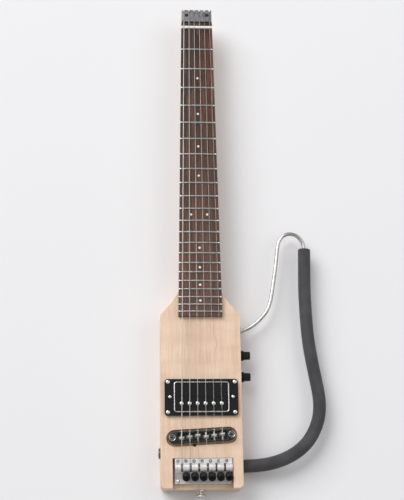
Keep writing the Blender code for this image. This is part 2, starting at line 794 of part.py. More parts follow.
def make_pickup():
    half_x, half_y = RING_LENGTH / 2, RING_WIDTH / 2
    bottom = BODY_THICKNESS + SEAT_GAP
    ring = plate("pickup_ring", rounded_rectangle(
        -half_x, half_x, RING_CENTRE_Y - half_y, RING_CENTRE_Y + half_y, RING_CORNER_RADIUS),
        bottom, bottom + RING_HEIGHT, BLACK_PLASTIC)
    round_edges(ring, 0.8, segments=2, degrees=70)
    out_x, out_y = COVER_LENGTH / 2, COVER_WIDTH / 2
    window = out_x + 0.5, out_y + 0.5
    carve(ring, plate("ring_window", rounded_rectangle(
        -window[0], window[0], RING_CENTRE_Y - window[1], RING_CENTRE_Y + window[1],
        COVER_CORNER_RADIUS), 0, BODY_THICKNESS * 2))
    for side_x in (-1, 1):
        for side_y in (-1, 1):
            x = side_x * RING_SCREW_SPAN_X / 2
            y = RING_CENTRE_Y + side_y * RING_SCREW_SPAN_Y / 2
            carve(ring, rod("ring_screw_hole", RING_SCREW_HOLE_RADIUS, (x, y, 0),
                            (x, y, BODY_THICKNESS * 2), sides=8))
    cover = plate("pickup_cover", rounded_rectangle(
        -out_x, out_x, RING_CENTRE_Y - out_y, RING_CENTRE_Y + out_y, COVER_CORNER_RADIUS),
        COVER_BOTTOM, COVER_TOP, NICKEL)
    round_edges(cover, 0.5, segments=1, degrees=70)
    in_x, in_y = out_x - COVER_WALL, out_y - COVER_WALL
    carve(cover, plate("cover_inside", rounded_rectangle(
        -in_x, in_x, RING_CENTRE_Y - in_y, RING_CENTRE_Y + in_y,
        COVER_CORNER_RADIUS - COVER_WALL), 0, BODY_THICKNESS * 2))
    bobbin_x = in_x - SEAT_GAP
    for name, low, high in (
        ("pickup_bobbin_screw", RING_CENTRE_Y - in_y + SEAT_GAP, RING_CENTRE_Y - SEAT_GAP / 2),
        ("pickup_bobbin_slug", RING_CENTRE_Y + SEAT_GAP / 2, RING_CENTRE_Y + in_y - SEAT_GAP),
    ):
        bobbin = plate(name, rounded_rectangle(-bobbin_x, bobbin_x, low, high, 2.0, steps=2),
                       COVER_BOTTOM + SEAT_GAP, COVER_TOP - BOBBIN_SINK, BLACK_PLASTIC)
        if name == "pickup_bobbin_screw":
            for number in range(STRING_COUNT):
                x = string_place(number, POLE_SPACING)
                fuse(bobbin, rod("pole", POLE_RADIUS, (x, POLE_Y, COVER_TOP - 4),
                                 (x, POLE_Y, COVER_TOP + POLE_HEIGHT), sides=SMALL_SIDES))
    block("pickup_magnet", (-MAGNET_LENGTH / 2, RING_CENTRE_Y - MAGNET_WIDTH / 2, MAGNET_BOTTOM),
          (MAGNET_LENGTH / 2, RING_CENTRE_Y + MAGNET_WIDTH / 2, COVER_BOTTOM), DARK_METAL)
    plate_top = BASEPLATE_BOTTOM + BASEPLATE_THICKNESS
    base = plate("pickup_baseplate", rounded_rectangle(
        -out_x, out_x, RING_CENTRE_Y - out_y, RING_CENTRE_Y + out_y, 3.0, steps=2),
        BASEPLATE_BOTTOM, plate_top, NICKEL)
    fuse(base, block("baseplate_ears", (-EAR_HALF_SPAN, RING_CENTRE_Y - EAR_WIDTH / 2,
                                        BASEPLATE_BOTTOM + 0.05),
                     (EAR_HALF_SPAN, RING_CENTRE_Y + EAR_WIDTH / 2, plate_top - 0.05)))
    names = ("pickup_height_screw_bass", "pickup_height_screw_treble")
    head_top = bottom + RING_HEIGHT + SEAT_GAP + 1.4
    for name, side in zip(names, (-1, 1)):
        x = side * HEIGHT_SCREW_X
        hole = HEIGHT_SCREW_RADIUS + SEAT_GAP
        carve(ring, rod("height_hole", hole, (x, RING_CENTRE_Y, 0),
                        (x, RING_CENTRE_Y, BODY_THICKNESS * 2), sides=8))
        carve(base, rod("ear_hole", hole, (x, RING_CENTRE_Y, 0),
                        (x, RING_CENTRE_Y, BODY_THICKNESS * 2), sides=8))
        length = head_top - PICKUP_POCKET_FLOOR - 1.5
        make_screw(name, (x, RING_CENTRE_Y, head_top), HEIGHT_SCREW_RADIUS,
                   HEIGHT_SCREW_HEAD_RADIUS, length, 1.4, STEEL, socket=False)


# Bridge


def make_bridge():
    base = plate("bridge_base", stadium(BASE_LENGTH, BASE_WIDTH, steps=6), BASE_BOTTOM, BASE_TOP,
                 DARK_METAL)
    half_x, half_y = BASE_POCKET_LENGTH / 2, BASE_POCKET_WIDTH / 2
    carve(base, block("base_pocket", (-half_x, -half_y, BASE_BOTTOM + BASE_FLOOR),
                      (half_x, half_y, BASE_TOP + 5)))
    for side in (-1, 1):
        x = side * POST_SPAN / 2
        carve(base, rod("post_hole", POST_RADIUS + SEAT_GAP, (x, 0, BASE_BOTTOM - 5),
                        (x, 0, BASE_TOP + 5), sides=ROUND_SIDES - 2))
    for number in range(STRING_COUNT):
        x = string_place(number, STRING_SPACING_BRIDGE) / math.cos(BRIDGE_SLANT)
        fuse(base, rod("intonation_screw", INTONATION_SCREW_RADIUS,
                       (x, -half_y - 1.2, INTONATION_SCREW_HEIGHT),
                       (x, half_y + 1.2, INTONATION_SCREW_HEIGHT), sides=8))
    seat = Matrix.Translation(metres(0, BRIDGE_CENTRE_Y, 0))
    seat = seat @ Matrix.Rotation(BRIDGE_SLANT, 4, "Z")
    for piece in [base] + [step.object for step in base.modifiers]:
        piece.matrix_world = seat @ Matrix.Translation(piece.location)
    for number in range(STRING_COUNT):
        make_saddle(number)
    for name, side in (("bridge_post_bass", -1), ("bridge_post_treble", 1)):
        make_post(name, side)


def make_saddle(number):
    """A wedge with a ridge under its string, on its intonation screw."""
    bottom = BASE_BOTTOM + BASE_FLOOR + RUNNING_GAP
    top = STRING_HEIGHT_BRIDGE - STRING_RADII[number] - SEAT_GAP
    half, ridge = SADDLE_LENGTH / 2, SADDLE_RIDGE_LENGTH / 2
    shoulder = BASE_TOP + 0.8
    outline = [(-half, bottom), (half, bottom), (half, shoulder), (ridge, top), (-ridge, top),
               (-half, shoulder)]
    wide, narrow = SADDLE_WIDTH / 2, SADDLE_WIDTH / 2 - 1.0
    sections = []
    for x, spread in ((-wide, narrow), (wide, narrow)):
        side = math.copysign(1, x)
        sections.append([(side * (narrow if z == top else wide), y, z) for y, z in outline])
    x, y = saddle_centre(number)
    saddle = loft(f"saddle_{STRING_COUNT - number}", sections, NICKEL)
    bore = rod("saddle_bore", INTONATION_SCREW_RADIUS + RUNNING_GAP, (0, -9, INTONATION_SCREW_HEIGHT),
               (0, 9, INTONATION_SCREW_HEIGHT), sides=8)
    for piece in (saddle, bore):
        place(piece, (x, y, 0), (0, 0, BRIDGE_SLANT))
    carve(saddle, bore)


def make_post(name, side):
    """A post with a collar below the bridge and a slotted head above it."""
    collar_top = BASE_BOTTOM - SEAT_GAP
    head_bottom = BASE_TOP + SEAT_GAP
    head_top = head_bottom + POST_HEAD_HEIGHT
    floor = BODY_THICKNESS - BRIDGE_SLOT_DEPTH + SEAT_GAP
    head, stem = POST_HEAD_RADIUS, POST_RADIUS
    post = turned(name, [
        (0, head_top), (head - 0.6, head_top), (head, head_top - 0.6), (head, head_bottom),
        (stem, head_bottom), (stem, collar_top), (head, collar_top), (head, floor),
        (stem, floor), (stem, collar_top - POST_LENGTH + 6), (0, collar_top - POST_LENGTH + 5)],
        STEEL, sides=ROUND_SIDES)
    x, y = slanted(side * POST_SPAN / 2, 0)
    place(post, (x, y, 0))
    socket = rod(name + "_socket", POST_SOCKET_RADIUS, (x, y, head_top - POST_SOCKET_DEPTH),
                 (x, y, head_top + 3), sides=6)
    carve(post, socket)


# Tuners


def gear_point(along, tailward):
    """A point in the plane of the gears, from the roller's axis, as Y and Z."""
    spot = Vector((0, ROLLER_Y, ROLLER_Z)) + KNOB_AXIS * along + TAILWARD * tailward
    return spot.y, spot.z


def housing_profile():
    """The housing seen from the side: front wall, hump over the roller, sloped bank and ledge."""
    meet = math.sqrt(HUMP_RADIUS**2 - BANK_HEIGHT**2)
    bank_start = gear_point(BANK_HEIGHT, meet)
    bank_end = gear_point(BANK_HEIGHT, GEAR_CENTRES + TUNER_KNOB_RADIUS + 0.6)
    front_end = HOUSING_START_Y - FRONT_THICKNESS
    lift = math.degrees(math.asin((FRONT_TOP - ROLLER_Z) / HUMP_RADIUS))
    turn = math.degrees(math.atan2(bank_start[1] - ROLLER_Z, bank_start[0] - ROLLER_Y))
    hump = arc((ROLLER_Y, ROLLER_Z), HUMP_RADIUS, lift, turn % 360, 10)
    points = [(HOUSING_START_Y, HOUSING_BOTTOM), (HOUSING_START_Y, FRONT_TOP)]
    if hump[0][0] < front_end:
        points.append((front_end, FRONT_TOP))
    return points + hump + [
        bank_end, (bank_end[0] - 1.2, LEDGE_TOP), (HOUSING_END_Y, LEDGE_TOP),
        (HOUSING_END_Y, HOUSING_BOTTOM)]


def side_plate(name, points, left, right, finish=None):
    """An outline given in Y and Z, extruded along X."""
    sections = [[(x, y, z) for y, z in points] for x in (left, right)]
    return loft(name, sections, finish)


def pocket_profile():
    """The hollow under a hump for the gears, open at the housing's underside."""
    inner = HUMP_RADIUS - HUMP_WALL
    start = math.degrees(math.asin(-2.0 / inner))
    worm_room = WORM_PITCH_RADIUS + WORM_ADDENDUM + RUNNING_GAP
    roof = BANK_HEIGHT - HUMP_WALL - 0.4
    y, z = gear_point(roof, math.sqrt(inner**2 - roof**2))
    end = math.degrees(math.atan2(z - ROLLER_Z, y - ROLLER_Y)) % 360
    points = arc((ROLLER_Y, ROLLER_Z), inner, start, end, 10)
    points.append(gear_point(roof, GEAR_CENTRES + worm_room))
    low = HOUSING_BOTTOM - 5
    end_y = gear_point(0, GEAR_CENTRES + worm_room)[0]
    return points + [(end_y, ROLLER_Z - 6), (end_y, low), (points[0][0], low)]


def housing_screw_places():
    return (HOUSING_LEFT + 4.4, HOUSING_RIGHT - 2.9)


def make_housing():
    housing = side_plate("tuner_housing", housing_profile(), HOUSING_LEFT, HOUSING_RIGHT,
                         CAST_METAL)
    pocket_left = STRING_SLOT_WIDTH / 2
    pocket_right = TUNER_PITCH - pocket_left - 0.9
    for number in range(STRING_COUNT):
        x = slot_x(number)
        carve(housing, side_plate("gear_pocket", pocket_profile(), x - pocket_left,
                                  x + pocket_right))
        half = STRING_SLOT_WIDTH / 2
        carve(housing, block("string_slot", (x - half, ROLLER_Y - HUMP_RADIUS + 1.0, ROLLER_Z - 1),
                             (x + half, ROLLER_Y + HUMP_RADIUS - 1.2, ROLLER_Z + 20)))
        knob_x = x + WHEEL_OFFSET
        near = gear_point(0.5, GEAR_CENTRES)
        far = gear_point(12, GEAR_CENTRES)
        collar = WORM_PITCH_RADIUS + WORM_ADDENDUM
        carve(housing, rod("worm_bore", collar + RUNNING_GAP, (knob_x, *near), (knob_x, *far)))
    axle_bore = AXLE_RADIUS + SEAT_GAP
    carve(housing, rod("axle_bore", axle_bore, (HOUSING_LEFT + 3, ROLLER_Y, ROLLER_Z),
                       (HOUSING_RIGHT + 5, ROLLER_Y, ROLLER_Z), sides=SMALL_SIDES))
    for x in housing_screw_places():
        carve(housing, rod("housing_screw_hole", HOUSING_SCREW_RADIUS + SEAT_GAP,
                           (x, HOUSING_END_Y + 3, 0), (x, HOUSING_END_Y + 3, 80),
                           sides=SMALL_SIDES))
    rod("tuner_axle", AXLE_RADIUS, (HOUSING_LEFT + 3 + SEAT_GAP, ROLLER_Y, ROLLER_Z),
        (HOUSING_RIGHT - 0.2, ROLLER_Y, ROLLER_Z), STEEL, sides=SMALL_SIDES)


def wheel_outline():
    """The worm wheel's toothed rim, with a tooth centred on the worm's side."""
    root = WHEEL_PITCH_RADIUS - WHEEL_DEDENDUM
    tip = WHEEL_PITCH_RADIUS + WHEEL_ADDENDUM
    step = 2 * math.pi / WHEEL_TEETH
    points = []
    for tooth in range(WHEEL_TEETH):
        centre = tooth * step
        for share, radius in ((-0.30, root), (-0.13, tip), (0.13, tip), (0.30, root)):
            angle = centre + share * step
            points.append((radius * math.cos(angle), radius * math.sin(angle)))
    return points


def make_roller(number):
    """A string drum, a hub and a worm wheel in one, turning on the axle."""
    x = slot_x(number)
    drum_half = STRING_SLOT_WIDTH / 2 - 0.25
    end = TUNER_PITCH - STRING_SLOT_WIDTH / 2 - 0.9 - 0.3
    roller = rod(f"tuner_roller_{STRING_COUNT - number}", DRUM_RADIUS, (-drum_half, 0, 0),
                 (drum_half, 0, 0), BRASS)
    hub = rod("roller_hub", HUB_RADIUS, (0, 0, 0), (end, 0, 0), sides=16)
    wheel = side_plate("worm_wheel", wheel_outline(), WHEEL_OFFSET - WHEEL_WIDTH / 2,
                       WHEEL_OFFSET + WHEEL_WIDTH / 2)
    bore = rod("roller_bore", AXLE_RADIUS + RUNNING_GAP, (-5, 0, 0), (TUNER_PITCH + 5, 0, 0),
               sides=SMALL_SIDES)
    for piece in (roller, hub, wheel, bore):
        piece.location = metres(x, ROLLER_Y, ROLLER_Z)
    # The tooth at angle 0 turns to face the worm.
    wheel.rotation_euler.x = math.pi + KNOB_TILT
    fuse(roller, hub, wheel)
    carve(roller, bore)


def worm_sections():
    """Rings along the worm whose radius follows a single helical thread.

    The gap between two turns faces the roller where the wheel's tooth stands.
    """
    root = WORM_PITCH_RADIUS - WORM_DEDENDUM
    tip = WORM_PITCH_RADIUS + WORM_ADDENDUM
    rows = round(WORM_LENGTH / GEAR_PITCH * WORM_ROWS_PER_TURN)
    sections = []
    for row in range(rows + 1):
        along = -WORM_LENGTH / 2 + WORM_LENGTH * row / rows
        ring = []
        for column in range(WORM_COLUMNS):
            angle = 2 * math.pi * column / WORM_COLUMNS
            phase = (along / GEAR_PITCH - angle / (2 * math.pi) + 0.25) % 1.0
            away = abs(phase - 0.5) * 2
            rise = max(0.0, min(1.0, (TOOTH_SHARE + 0.22 - away) / 0.3))
            if row < 2 or row > rows - 3:
                rise = 0.0
            radius = root + (tip - root) * rise
            ring.append((radius * math.cos(angle), radius * math.sin(angle), along))
        sections.append(ring)
    return sections


def make_tuner_knob(number):
    """A black knob on a shaft whose worm turns the roller. Its origin is where the worm meets."""
    y, z = gear_point(0, GEAR_CENTRES)
    at = (slot_x(number) + WHEEL_OFFSET, y, z)
    radius, start, length = TUNER_KNOB_RADIUS, TUNER_KNOB_START, TUNER_KNOB_LENGTH
    knob = turned(f"tuner_knob_{STRING_COUNT - number}", [
        (0, start + length), (radius - 1.0, start + length), (radius - 0.2, start + length - 0.8),
        (radius, start + length - 2.0), (radius, start + 0.8), (radius - 0.8, start), (0, start)],
        BLACK_PLASTIC, sides=TUNER_KNOB_SIDES)
    helpers = []
    worm = loft("worm", worm_sections())
    collar = WORM_PITCH_RADIUS + WORM_ADDENDUM - 0.05
    neck = rod("knob_neck", collar, (0, 0, WORM_LENGTH / 2 - 0.25), (0, 0, start + 1.0), sides=14)
    fuse(knob, worm, neck)
    helpers += [worm, neck]
    socket = rod("knob_socket", HEX_SOCKET_RADIUS, (0, 0, start + length - HEX_SOCKET_DEPTH),
                 (0, 0, start + length + 5), sides=6)
    carve(knob, socket)
    helpers.append(socket)
    tilt = Matrix.Translation(metres(*at)) @ Matrix.Rotation(KNOB_TILT, 4, "X")
    for piece in (knob, *helpers):
        piece.matrix_world = tilt


# Strings


def roller_wrap(radius):
    """Where a string leaves the saddle side of its drum, then its turn round the drum."""
    reach = DRUM_RADIUS + SEAT_GAP + radius
    angles = [74 + 22 * i for i in range(9)]
    return [(ROLLER_Y + reach * math.cos(math.radians(a)), ROLLER_Z + reach * math.sin(math.radians(a)))
            for a in angles]


def make_string(number):
    radius = STRING_RADII[number]
    nut_x = string_place(number, STRING_SPACING_NUT)
    saddle_x, saddle_y = saddle_centre(number)
    end_x = slot_x(number)
    ball_y = NECK_END_Y - BALL_INSET + 0.9
    ball_z = HEAD_TOP - HEAD_SLOT_DEPTH + BALL_RADIUS + SEAT_GAP
    points = [
        (nut_x, ball_y, ball_z),
        (nut_x, NUT_Y + NUT_LENGTH + 0.8, STRING_HEIGHT_NUT),
        (nut_x, NUT_Y - 0.5, STRING_HEIGHT_NUT),
        (saddle_x, saddle_y, STRING_HEIGHT_BRIDGE),
        (saddle_x + (end_x - saddle_x) * 0.08, saddle_y - STRING_BREAK_BEHIND_SADDLE,
         STRING_HEIGHT_BRIDGE),
    ]
    points += [(end_x, y, z) for y, z in roller_wrap(radius)]
    finish = WOUND if number < STRING_COUNT / 2 else STEEL
    string = tube(f"string_{STRING_COUNT - number}", points, radius, finish, resolution=1)
    fuse(string, rod("ball_end", BALL_RADIUS, (nut_x - 1.4, ball_y, ball_z),
                     (nut_x + 1.4, ball_y, ball_z), sides=10))


# Controls, jack and cover


def make_control(pot_name, knob_name, y):
    """A pot behind the side wall, and its knob with the shaft that it is pressed on."""
    front = CAVITY_RIGHT - SEAT_GAP
    outside = BODY_HALF + SEAT_GAP
    pot = rod(pot_name, POT_RADIUS, (front - POT_DEPTH, y, CONTROL_Z), (front, y, CONTROL_Z), STEEL)
    fuse(pot, rod("pot_bushing", POT_BUSHING_RADIUS, (front - 1, y, CONTROL_Z),
                  (outside - 0.4, y, CONTROL_Z)))
    carve(pot, rod("pot_bore_inside", POT_SHAFT_RADIUS + RUNNING_GAP, (front - POT_DEPTH + 2, y, CONTROL_Z),
                   (outside + 5, y, CONTROL_Z)))
    skirt, base, top = KNOB_SKIRT_RADIUS, KNOB_BASE_RADIUS, KNOB_TOP_RADIUS
    low, high = SEAT_GAP * 2, KNOB_HEIGHT + SEAT_GAP * 2
    knob = turned(knob_name, [
        (0, high), (top - 0.5, high), (top, high - 0.5), (base, low + KNOB_SKIRT_HEIGHT),
        (skirt - 0.3, low + KNOB_SKIRT_HEIGHT - 0.4), (skirt, low + 0.5), (skirt, low), (0, low)],
        BLACK_PLASTIC, sides=2 * KNOB_FLUTES)
    turn = Matrix.Translation(metres(BODY_HALF, y, CONTROL_Z)) @ Matrix.Rotation(math.pi / 2, 4, "Y")
    shaft_start = front - POT_DEPTH + 2.5 - BODY_HALF
    shaft = rod("knob_shaft", POT_SHAFT_RADIUS, (0, 0, shaft_start), (0, 0, low + 2), sides=16)
    fuse(knob, shaft)
    helpers = [shaft]
    for flute in range(KNOB_FLUTES):
        angle = 2 * math.pi * flute / KNOB_FLUTES
        x, z = math.cos(angle), math.sin(angle)
        bottom = (x * (base + 0.15), z * (base + 0.15), low + KNOB_SKIRT_HEIGHT + 0.5)
        tip = (x * (top + 0.15), z * (top + 0.15), high + 2)
        cutter = rod("knob_flute", KNOB_FLUTE_RADIUS, bottom, tip, sides=3)
        carve(knob, cutter)
        helpers.append(cutter)
    for piece in (knob, *helpers):
        piece.matrix_world = turn


def make_jack():
    face = -BODY_HALF - SEAT_GAP
    inner = -BODY_HALF + JACK_BARREL_LENGTH
    barrel_start = -BODY_HALF + 1.2
    jack = rod("output_jack", JACK_BARREL_RADIUS, (inner, JACK_Y, JACK_Z),
               (barrel_start, JACK_Y, JACK_Z), STEEL)
    tip = face - JACK_THREAD_REACH
    fuse(jack, rod("jack_thread", JACK_THREAD_RADIUS, (inner - 8, JACK_Y, JACK_Z),
                   (tip, JACK_Y, JACK_Z)))
    carve(jack, rod("jack_socket", JACK_SOCKET_RADIUS, (tip + JACK_SOCKET_DEPTH, JACK_Y, JACK_Z),
                    (tip - 5, JACK_Y, JACK_Z)))
    nut = rod("jack_nut", JACK_NUT_RADIUS, (face, JACK_Y, JACK_Z),
              (face - JACK_NUT_HEIGHT, JACK_Y, JACK_Z), CAST_METAL)
    carve(nut, rod("nut_bore", JACK_THREAD_RADIUS + SEAT_GAP, (face + 5, JACK_Y, JACK_Z),
                   (face - 9, JACK_Y, JACK_Z)))


def make_cavity_cover():
    lip = CAVITY_LIP
    plate("cavity_cover", rounded_rectangle(
        CAVITY_LEFT - lip, BODY_HALF - 3.2 - SEAT_GAP, CAVITY_START_Y - lip, CAVITY_END_Y + lip,
        CAVITY_CORNER_RADIUS), SEAT_GAP, COVER_PLATE_THICKNESS + SEAT_GAP, BLACK_PLASTIC)


def make_strap_button():
    bore, height = BUTTON_BORE_RADIUS, BUTTON_HEIGHT
    base, waist, top = BUTTON_BASE_RADIUS, BUTTON_WAIST_RADIUS, BUTTON_TOP_RADIUS
    sink = BUTTON_SCREW_HEAD_RADIUS + SEAT_GAP
    button = turned("strap_button", [
        (sink, height), (top - 1.0, height), (top, height - 0.8), (top - 0.4, height - 2.0),
        (waist + 0.8, height - 3.4), (waist, 0.50 * height), (waist + 0.9, 2.4), (base, 1.2),
        (base, 0), (bore, 0), (bore, height - 3.0), (sink, height - 3.0), (sink, height)], NICKEL)
    along = Matrix.Rotation(math.pi / 2, 4, "X")
    button.matrix_world = Matrix.Translation(
        metres(BUTTON_X, TAIL_Y - SEAT_GAP, BUTTON_Z)) @ along
    screw = make_screw("strap_button_screw", (0, 0, 0), BUTTON_SCREW_RADIUS,
                       BUTTON_SCREW_HEAD_RADIUS, BUTTON_SCREW_LENGTH, 2.2, STEEL)
    seat = Matrix.Translation(
        metres(BUTTON_X, TAIL_Y - SEAT_GAP - height + 0.4, BUTTON_Z)) @ along
    for piece in [screw] + [step.object for step in screw.modifiers if step.type == "BOOLEAN"]:
        piece.matrix_world = seat


# Lap rest


def rest_loop():
    """The rod outside the body, from its upper socket round to where the sleeve starts."""
    side = BODY_HALF
    return [
        (side + 1.2, REST_UPPER_Y + 0.5), (65.6, 141.6), (76.7, 150.2), (87.2, 162.2),
        (93.4, 176.5), (97.4, 197.0), (101.9, 224.3), (105.3, 250.0), (108.0, 260.0),
        (114.6, 267.6), (123.4, 269.9), (132.6, 266.3), (139.0, 257.6), (140.9, 247.9),
    ]


def sleeve_line():
    """The middle of the foam sleeve, from its top end down to the body's side."""
    return [
        (140.9, 247.9), (139.7, 208.3), (139.3, 184.0), (140.0, 152.0), (141.6, 124.6),
        (144.6, 100.9), (148.4, 77.6), (151.9, 55.0), (152.7, 38.2), (150.4, 22.2), (144.3, 6.4),
        (134.4, -8.3), (120.3, -20.3), (103.2, -29.0), (86.0, -34.0), (69.1, REST_LOWER_Y + 0.8),
        (BODY_HALF + 1.0, REST_LOWER_Y),
    ]


def make_lap_rest():
    pin_end = BODY_HALF - REST_PIN_LENGTH
    upper = [(pin_end, REST_UPPER_Y), (BODY_HALF - 2.5, REST_UPPER_Y)]
    lower = [(BODY_HALF - 2.5, REST_LOWER_Y), (pin_end, REST_LOWER_Y)]
    loop = smooth_path([(x, y, REST_Z) for x, y in rest_loop()], 2)
    line = smooth_path([(x, y, REST_Z) for x, y in sleeve_line()], 2)
    pins = [[(x, y, REST_Z) for x, y in ends] for ends in (upper, lower)]
    path = pins[0] + loop + line[1:] + pins[1]
    tube("rest_rod", path, REST_ROD_RADIUS, STEEL, resolution=2)
    sleeve = tube("rest_sleeve", line, REST_SLEEVE_RADIUS, FOAM, resolution=4)
    bore = tube("sleeve_bore", [loop[-3], loop[-2], *line, pins[1][0]],
                REST_ROD_RADIUS + SEAT_GAP, resolution=2)
    carve(sleeve, bore)
    outer = REST_ROD_RADIUS + RUNNING_GAP + REST_SOCKET_WALL
    for name, y in (("rest_socket_upper", REST_UPPER_Y), ("rest_socket_lower", REST_LOWER_Y)):
        socket = rod(name, outer, (pin_end - 1, y, REST_Z), (BODY_HALF - SEAT_GAP, y, REST_Z), STEEL)
        carve(socket, rod(name + "_bore", REST_ROD_RADIUS + RUNNING_GAP, (pin_end - 5, y, REST_Z),
                          (BODY_HALF + 5, y, REST_Z)))


# Wiring inside


def make_leads():
    pot_back = CAVITY_RIGHT - SEAT_GAP - POT_DEPTH - 3 * SEAT_GAP
    low = BASEPLATE_BOTTOM - SEAT_GAP - LEAD_RADIUS
    lead = smooth_path([
        (20, RING_CENTRE_Y + 6, low), (22, 66, low - 1), (25, 80, CONTROL_Z), (29, 94, CONTROL_Z),
        (pot_back, VOLUME_Y, CONTROL_Z)], 3)
    tube("lead_pickup", lead, LEAD_RADIUS, INSULATION, resolution=1)
    jack_side = JACK_Y + JACK_BARREL_RADIUS + SEAT_GAP
    floor = PICKUP_POCKET_FLOOR + LEAD_RADIUS + SEAT_GAP
    lead = smooth_path([
        (pot_back, TONE_Y, CONTROL_Z), (30, 66, CONTROL_Z + 1), (10, 52, floor + 0.5),
        (-14, 38, floor), (CHANNEL_X, 26, floor + 1.0), (CHANNEL_X, 10, PICKUP_POCKET_FLOOR + 2.2),
        (CHANNEL_X, jack_side, PICKUP_POCKET_FLOOR + 1.2)], 3)
    tube("lead_jack", lead, LEAD_RADIUS, INSULATION, resolution=1)


def make_guitar():
    make_body()
    make_fingerboard()
    make_nut()
    make_truss_rod()
    make_headpiece()
    make_pickup()
    make_bridge()
    make_housing()
    for number in range(STRING_COUNT):
        make_roller(number)
        make_tuner_knob(number)
        make_string(number)
    make_control("pot_volume", "knob_volume", VOLUME_Y)
    make_control("pot_tone", "knob_tone", TONE_Y)
    make_jack()
    make_cavity_cover()
    make_strap_button()
    make_lap_rest()
    make_leads()


make_guitar()
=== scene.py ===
import json
import math

import bmesh
import bpy
from mathutils import Matrix, Vector


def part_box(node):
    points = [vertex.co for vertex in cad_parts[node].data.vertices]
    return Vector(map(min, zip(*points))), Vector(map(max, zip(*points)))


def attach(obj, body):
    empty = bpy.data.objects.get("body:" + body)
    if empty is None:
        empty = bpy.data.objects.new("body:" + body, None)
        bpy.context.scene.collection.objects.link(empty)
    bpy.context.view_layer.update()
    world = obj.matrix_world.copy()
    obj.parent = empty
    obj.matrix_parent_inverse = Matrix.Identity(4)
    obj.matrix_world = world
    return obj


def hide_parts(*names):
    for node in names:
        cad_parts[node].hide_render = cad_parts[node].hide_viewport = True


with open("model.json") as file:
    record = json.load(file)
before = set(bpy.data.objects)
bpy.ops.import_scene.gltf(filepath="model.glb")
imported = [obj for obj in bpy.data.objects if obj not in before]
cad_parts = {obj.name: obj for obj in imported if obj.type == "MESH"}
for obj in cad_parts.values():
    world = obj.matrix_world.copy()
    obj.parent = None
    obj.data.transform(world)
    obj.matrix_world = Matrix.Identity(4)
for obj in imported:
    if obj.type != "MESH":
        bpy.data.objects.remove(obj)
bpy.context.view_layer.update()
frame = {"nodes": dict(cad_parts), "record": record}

ROOT = "guitar"
MM = 0.001

# Sizes and places are in millimetres, in the part's own frame.

# Fingerboard and frets
SCALE = 558.8
FRETS = 22
NUT_WIDTH = 42.8
BOARD_FLARE = 13.6
BOARD_END = 150.9
BOARD_TOP = 46.3
BOARD_CROWN = 710.0
FRET_HALF_WIDTH = 1.25
FRET_HEIGHT = 1.04
FRET_INSET = 0.15
FRET_SPANS = 10
FRET_ARC = 8
FRET_END_INSET = 1.2
FRET_END_LIFT = 0.95
SINGLE_DOTS = (3, 5, 7, 9, 15, 17, 19, 21)
DOUBLE_DOT = 12
DOUBLE_DOT_X = 10.5

# A piece that lies on a solid's face stands this far off it, so that the two faces don't flicker
LIFT = 0.02
SCREW_LIFT = 0.05

# Turned pieces, as (radius, height) points
# FRET_END is the bead on a fret's end, shown in a lighter metal than the fret as a painted
# highlight
FRET_END = ((0, 0.32), (0.5, 0.26), (0.9, 0.1), (1.0, -0.3), (0, -0.3))
DOT = ((0, 0.0), (1.5, 0.0), (1.6, -0.2), (0, -0.2))
POLE_SCREW = ((0, 0.2), (0.7, 0.2), (0.9, 0.75), (2.0, 0.6), (2.55, 0.1), (2.55, -0.3), (0, -0.3))
GRUB_SCREW = ((0, 0.1), (0.55, 0.1), (0.65, 0.3), (1.3, 0.34), (1.5, 0.15), (1.5, -0.05),
              (0, -0.05))
# A flat dark ring under each grub screw: painted shade of the screw's hole
GRUB_HOLE_SHADE = ((1.55, -0.02), (1.55, 0.08), (2.0, 0.08), (2.0, -0.02), (1.55, -0.02))
POST_RIM = ((3.4, 0.02), (3.45, 0.4), (3.8, 0.6), (4.1, 0.4), (4.2, 0.02), (3.4, 0.02))
POST_SCREW_RIM = ((1.95, 0.02), (2.0, 0.25), (2.3, 0.25), (2.35, 0.02), (1.95, 0.02))
POST_GROOVE = ((2.36, 0.02), (2.36, 0.1), (3.38, 0.1), (3.38, 0.02), (2.36, 0.02))
POST_SOCKET = ((0, -0.3), (1.55, -0.3), (1.9, 0.05), (1.94, -0.1), (1.9, -0.5), (0, -0.5))
INTONATION_HEAD = ((0, 7.9), (1.5, 7.9), (1.9, 7.5), (1.9, 6.95), (0, 6.95))
INTONATION_SHAFT = ((0, 5.1), (1.2, 5.1), (1.2, -5.1), (0, -5.1))

# A screw's domed head with the pit in its middle, as shares of its radius and its height
HEAD_SHARES = ((0, 0.72), (0.16, 0.72), (0.2, 1.0), (0.55, 0.93), (0.88, 0.6), (1.0, 0.0))
HEAD_SUNK = 0.2
SHARP_EDGE = math.radians(38)

# Pickup
POLE_SPACING = 10.05
POLE_Y = 38.2
POLE_Z = 47.0
COVER_LENGTH = 69.6
COVER_WIDTH = 38.7
COVER_CORNER = 3.6
COVER_RIM = ((0.1, 0.02), (0.1, 0.35), (0.45, 0.62), (0.95, 0.62), (1.3, 0.35), (1.3, 0.02))

# Bridge and tuner housing
BRIDGE_Y = -2.4
BRIDGE_Z = 42.2
BRIDGE_SLANT = math.radians(3.1)
SADDLE_SPACING = 10.2
GRUB_COUNT = 7
GRUB_START_X = -30.1
GRUB_SPACING = 10.1
GRUB_Y = -32.3
GRUB_Z = 39.3
HOUSING_SCREW_Z = 30.3
COVER_SCREW_Z = 0.25

# Control knobs: the profile holds (height, radius, depth of the flutes)
KNOB_START = 54.3
KNOB_STEPS = 144
KNOB_FLUTES = 18
KNOB_PROFILE = (
    (0.0, 6.72, 0.0), (1.3, 6.72, 0.0), (1.7, 6.4, 0.0), (1.8, 5.5, 0.0), (2.1, 5.5, 0.35),
    (9.6, 5.1, 0.35), (10.1, 4.8, 0.1), (10.2, 4.3, 0.0),
)

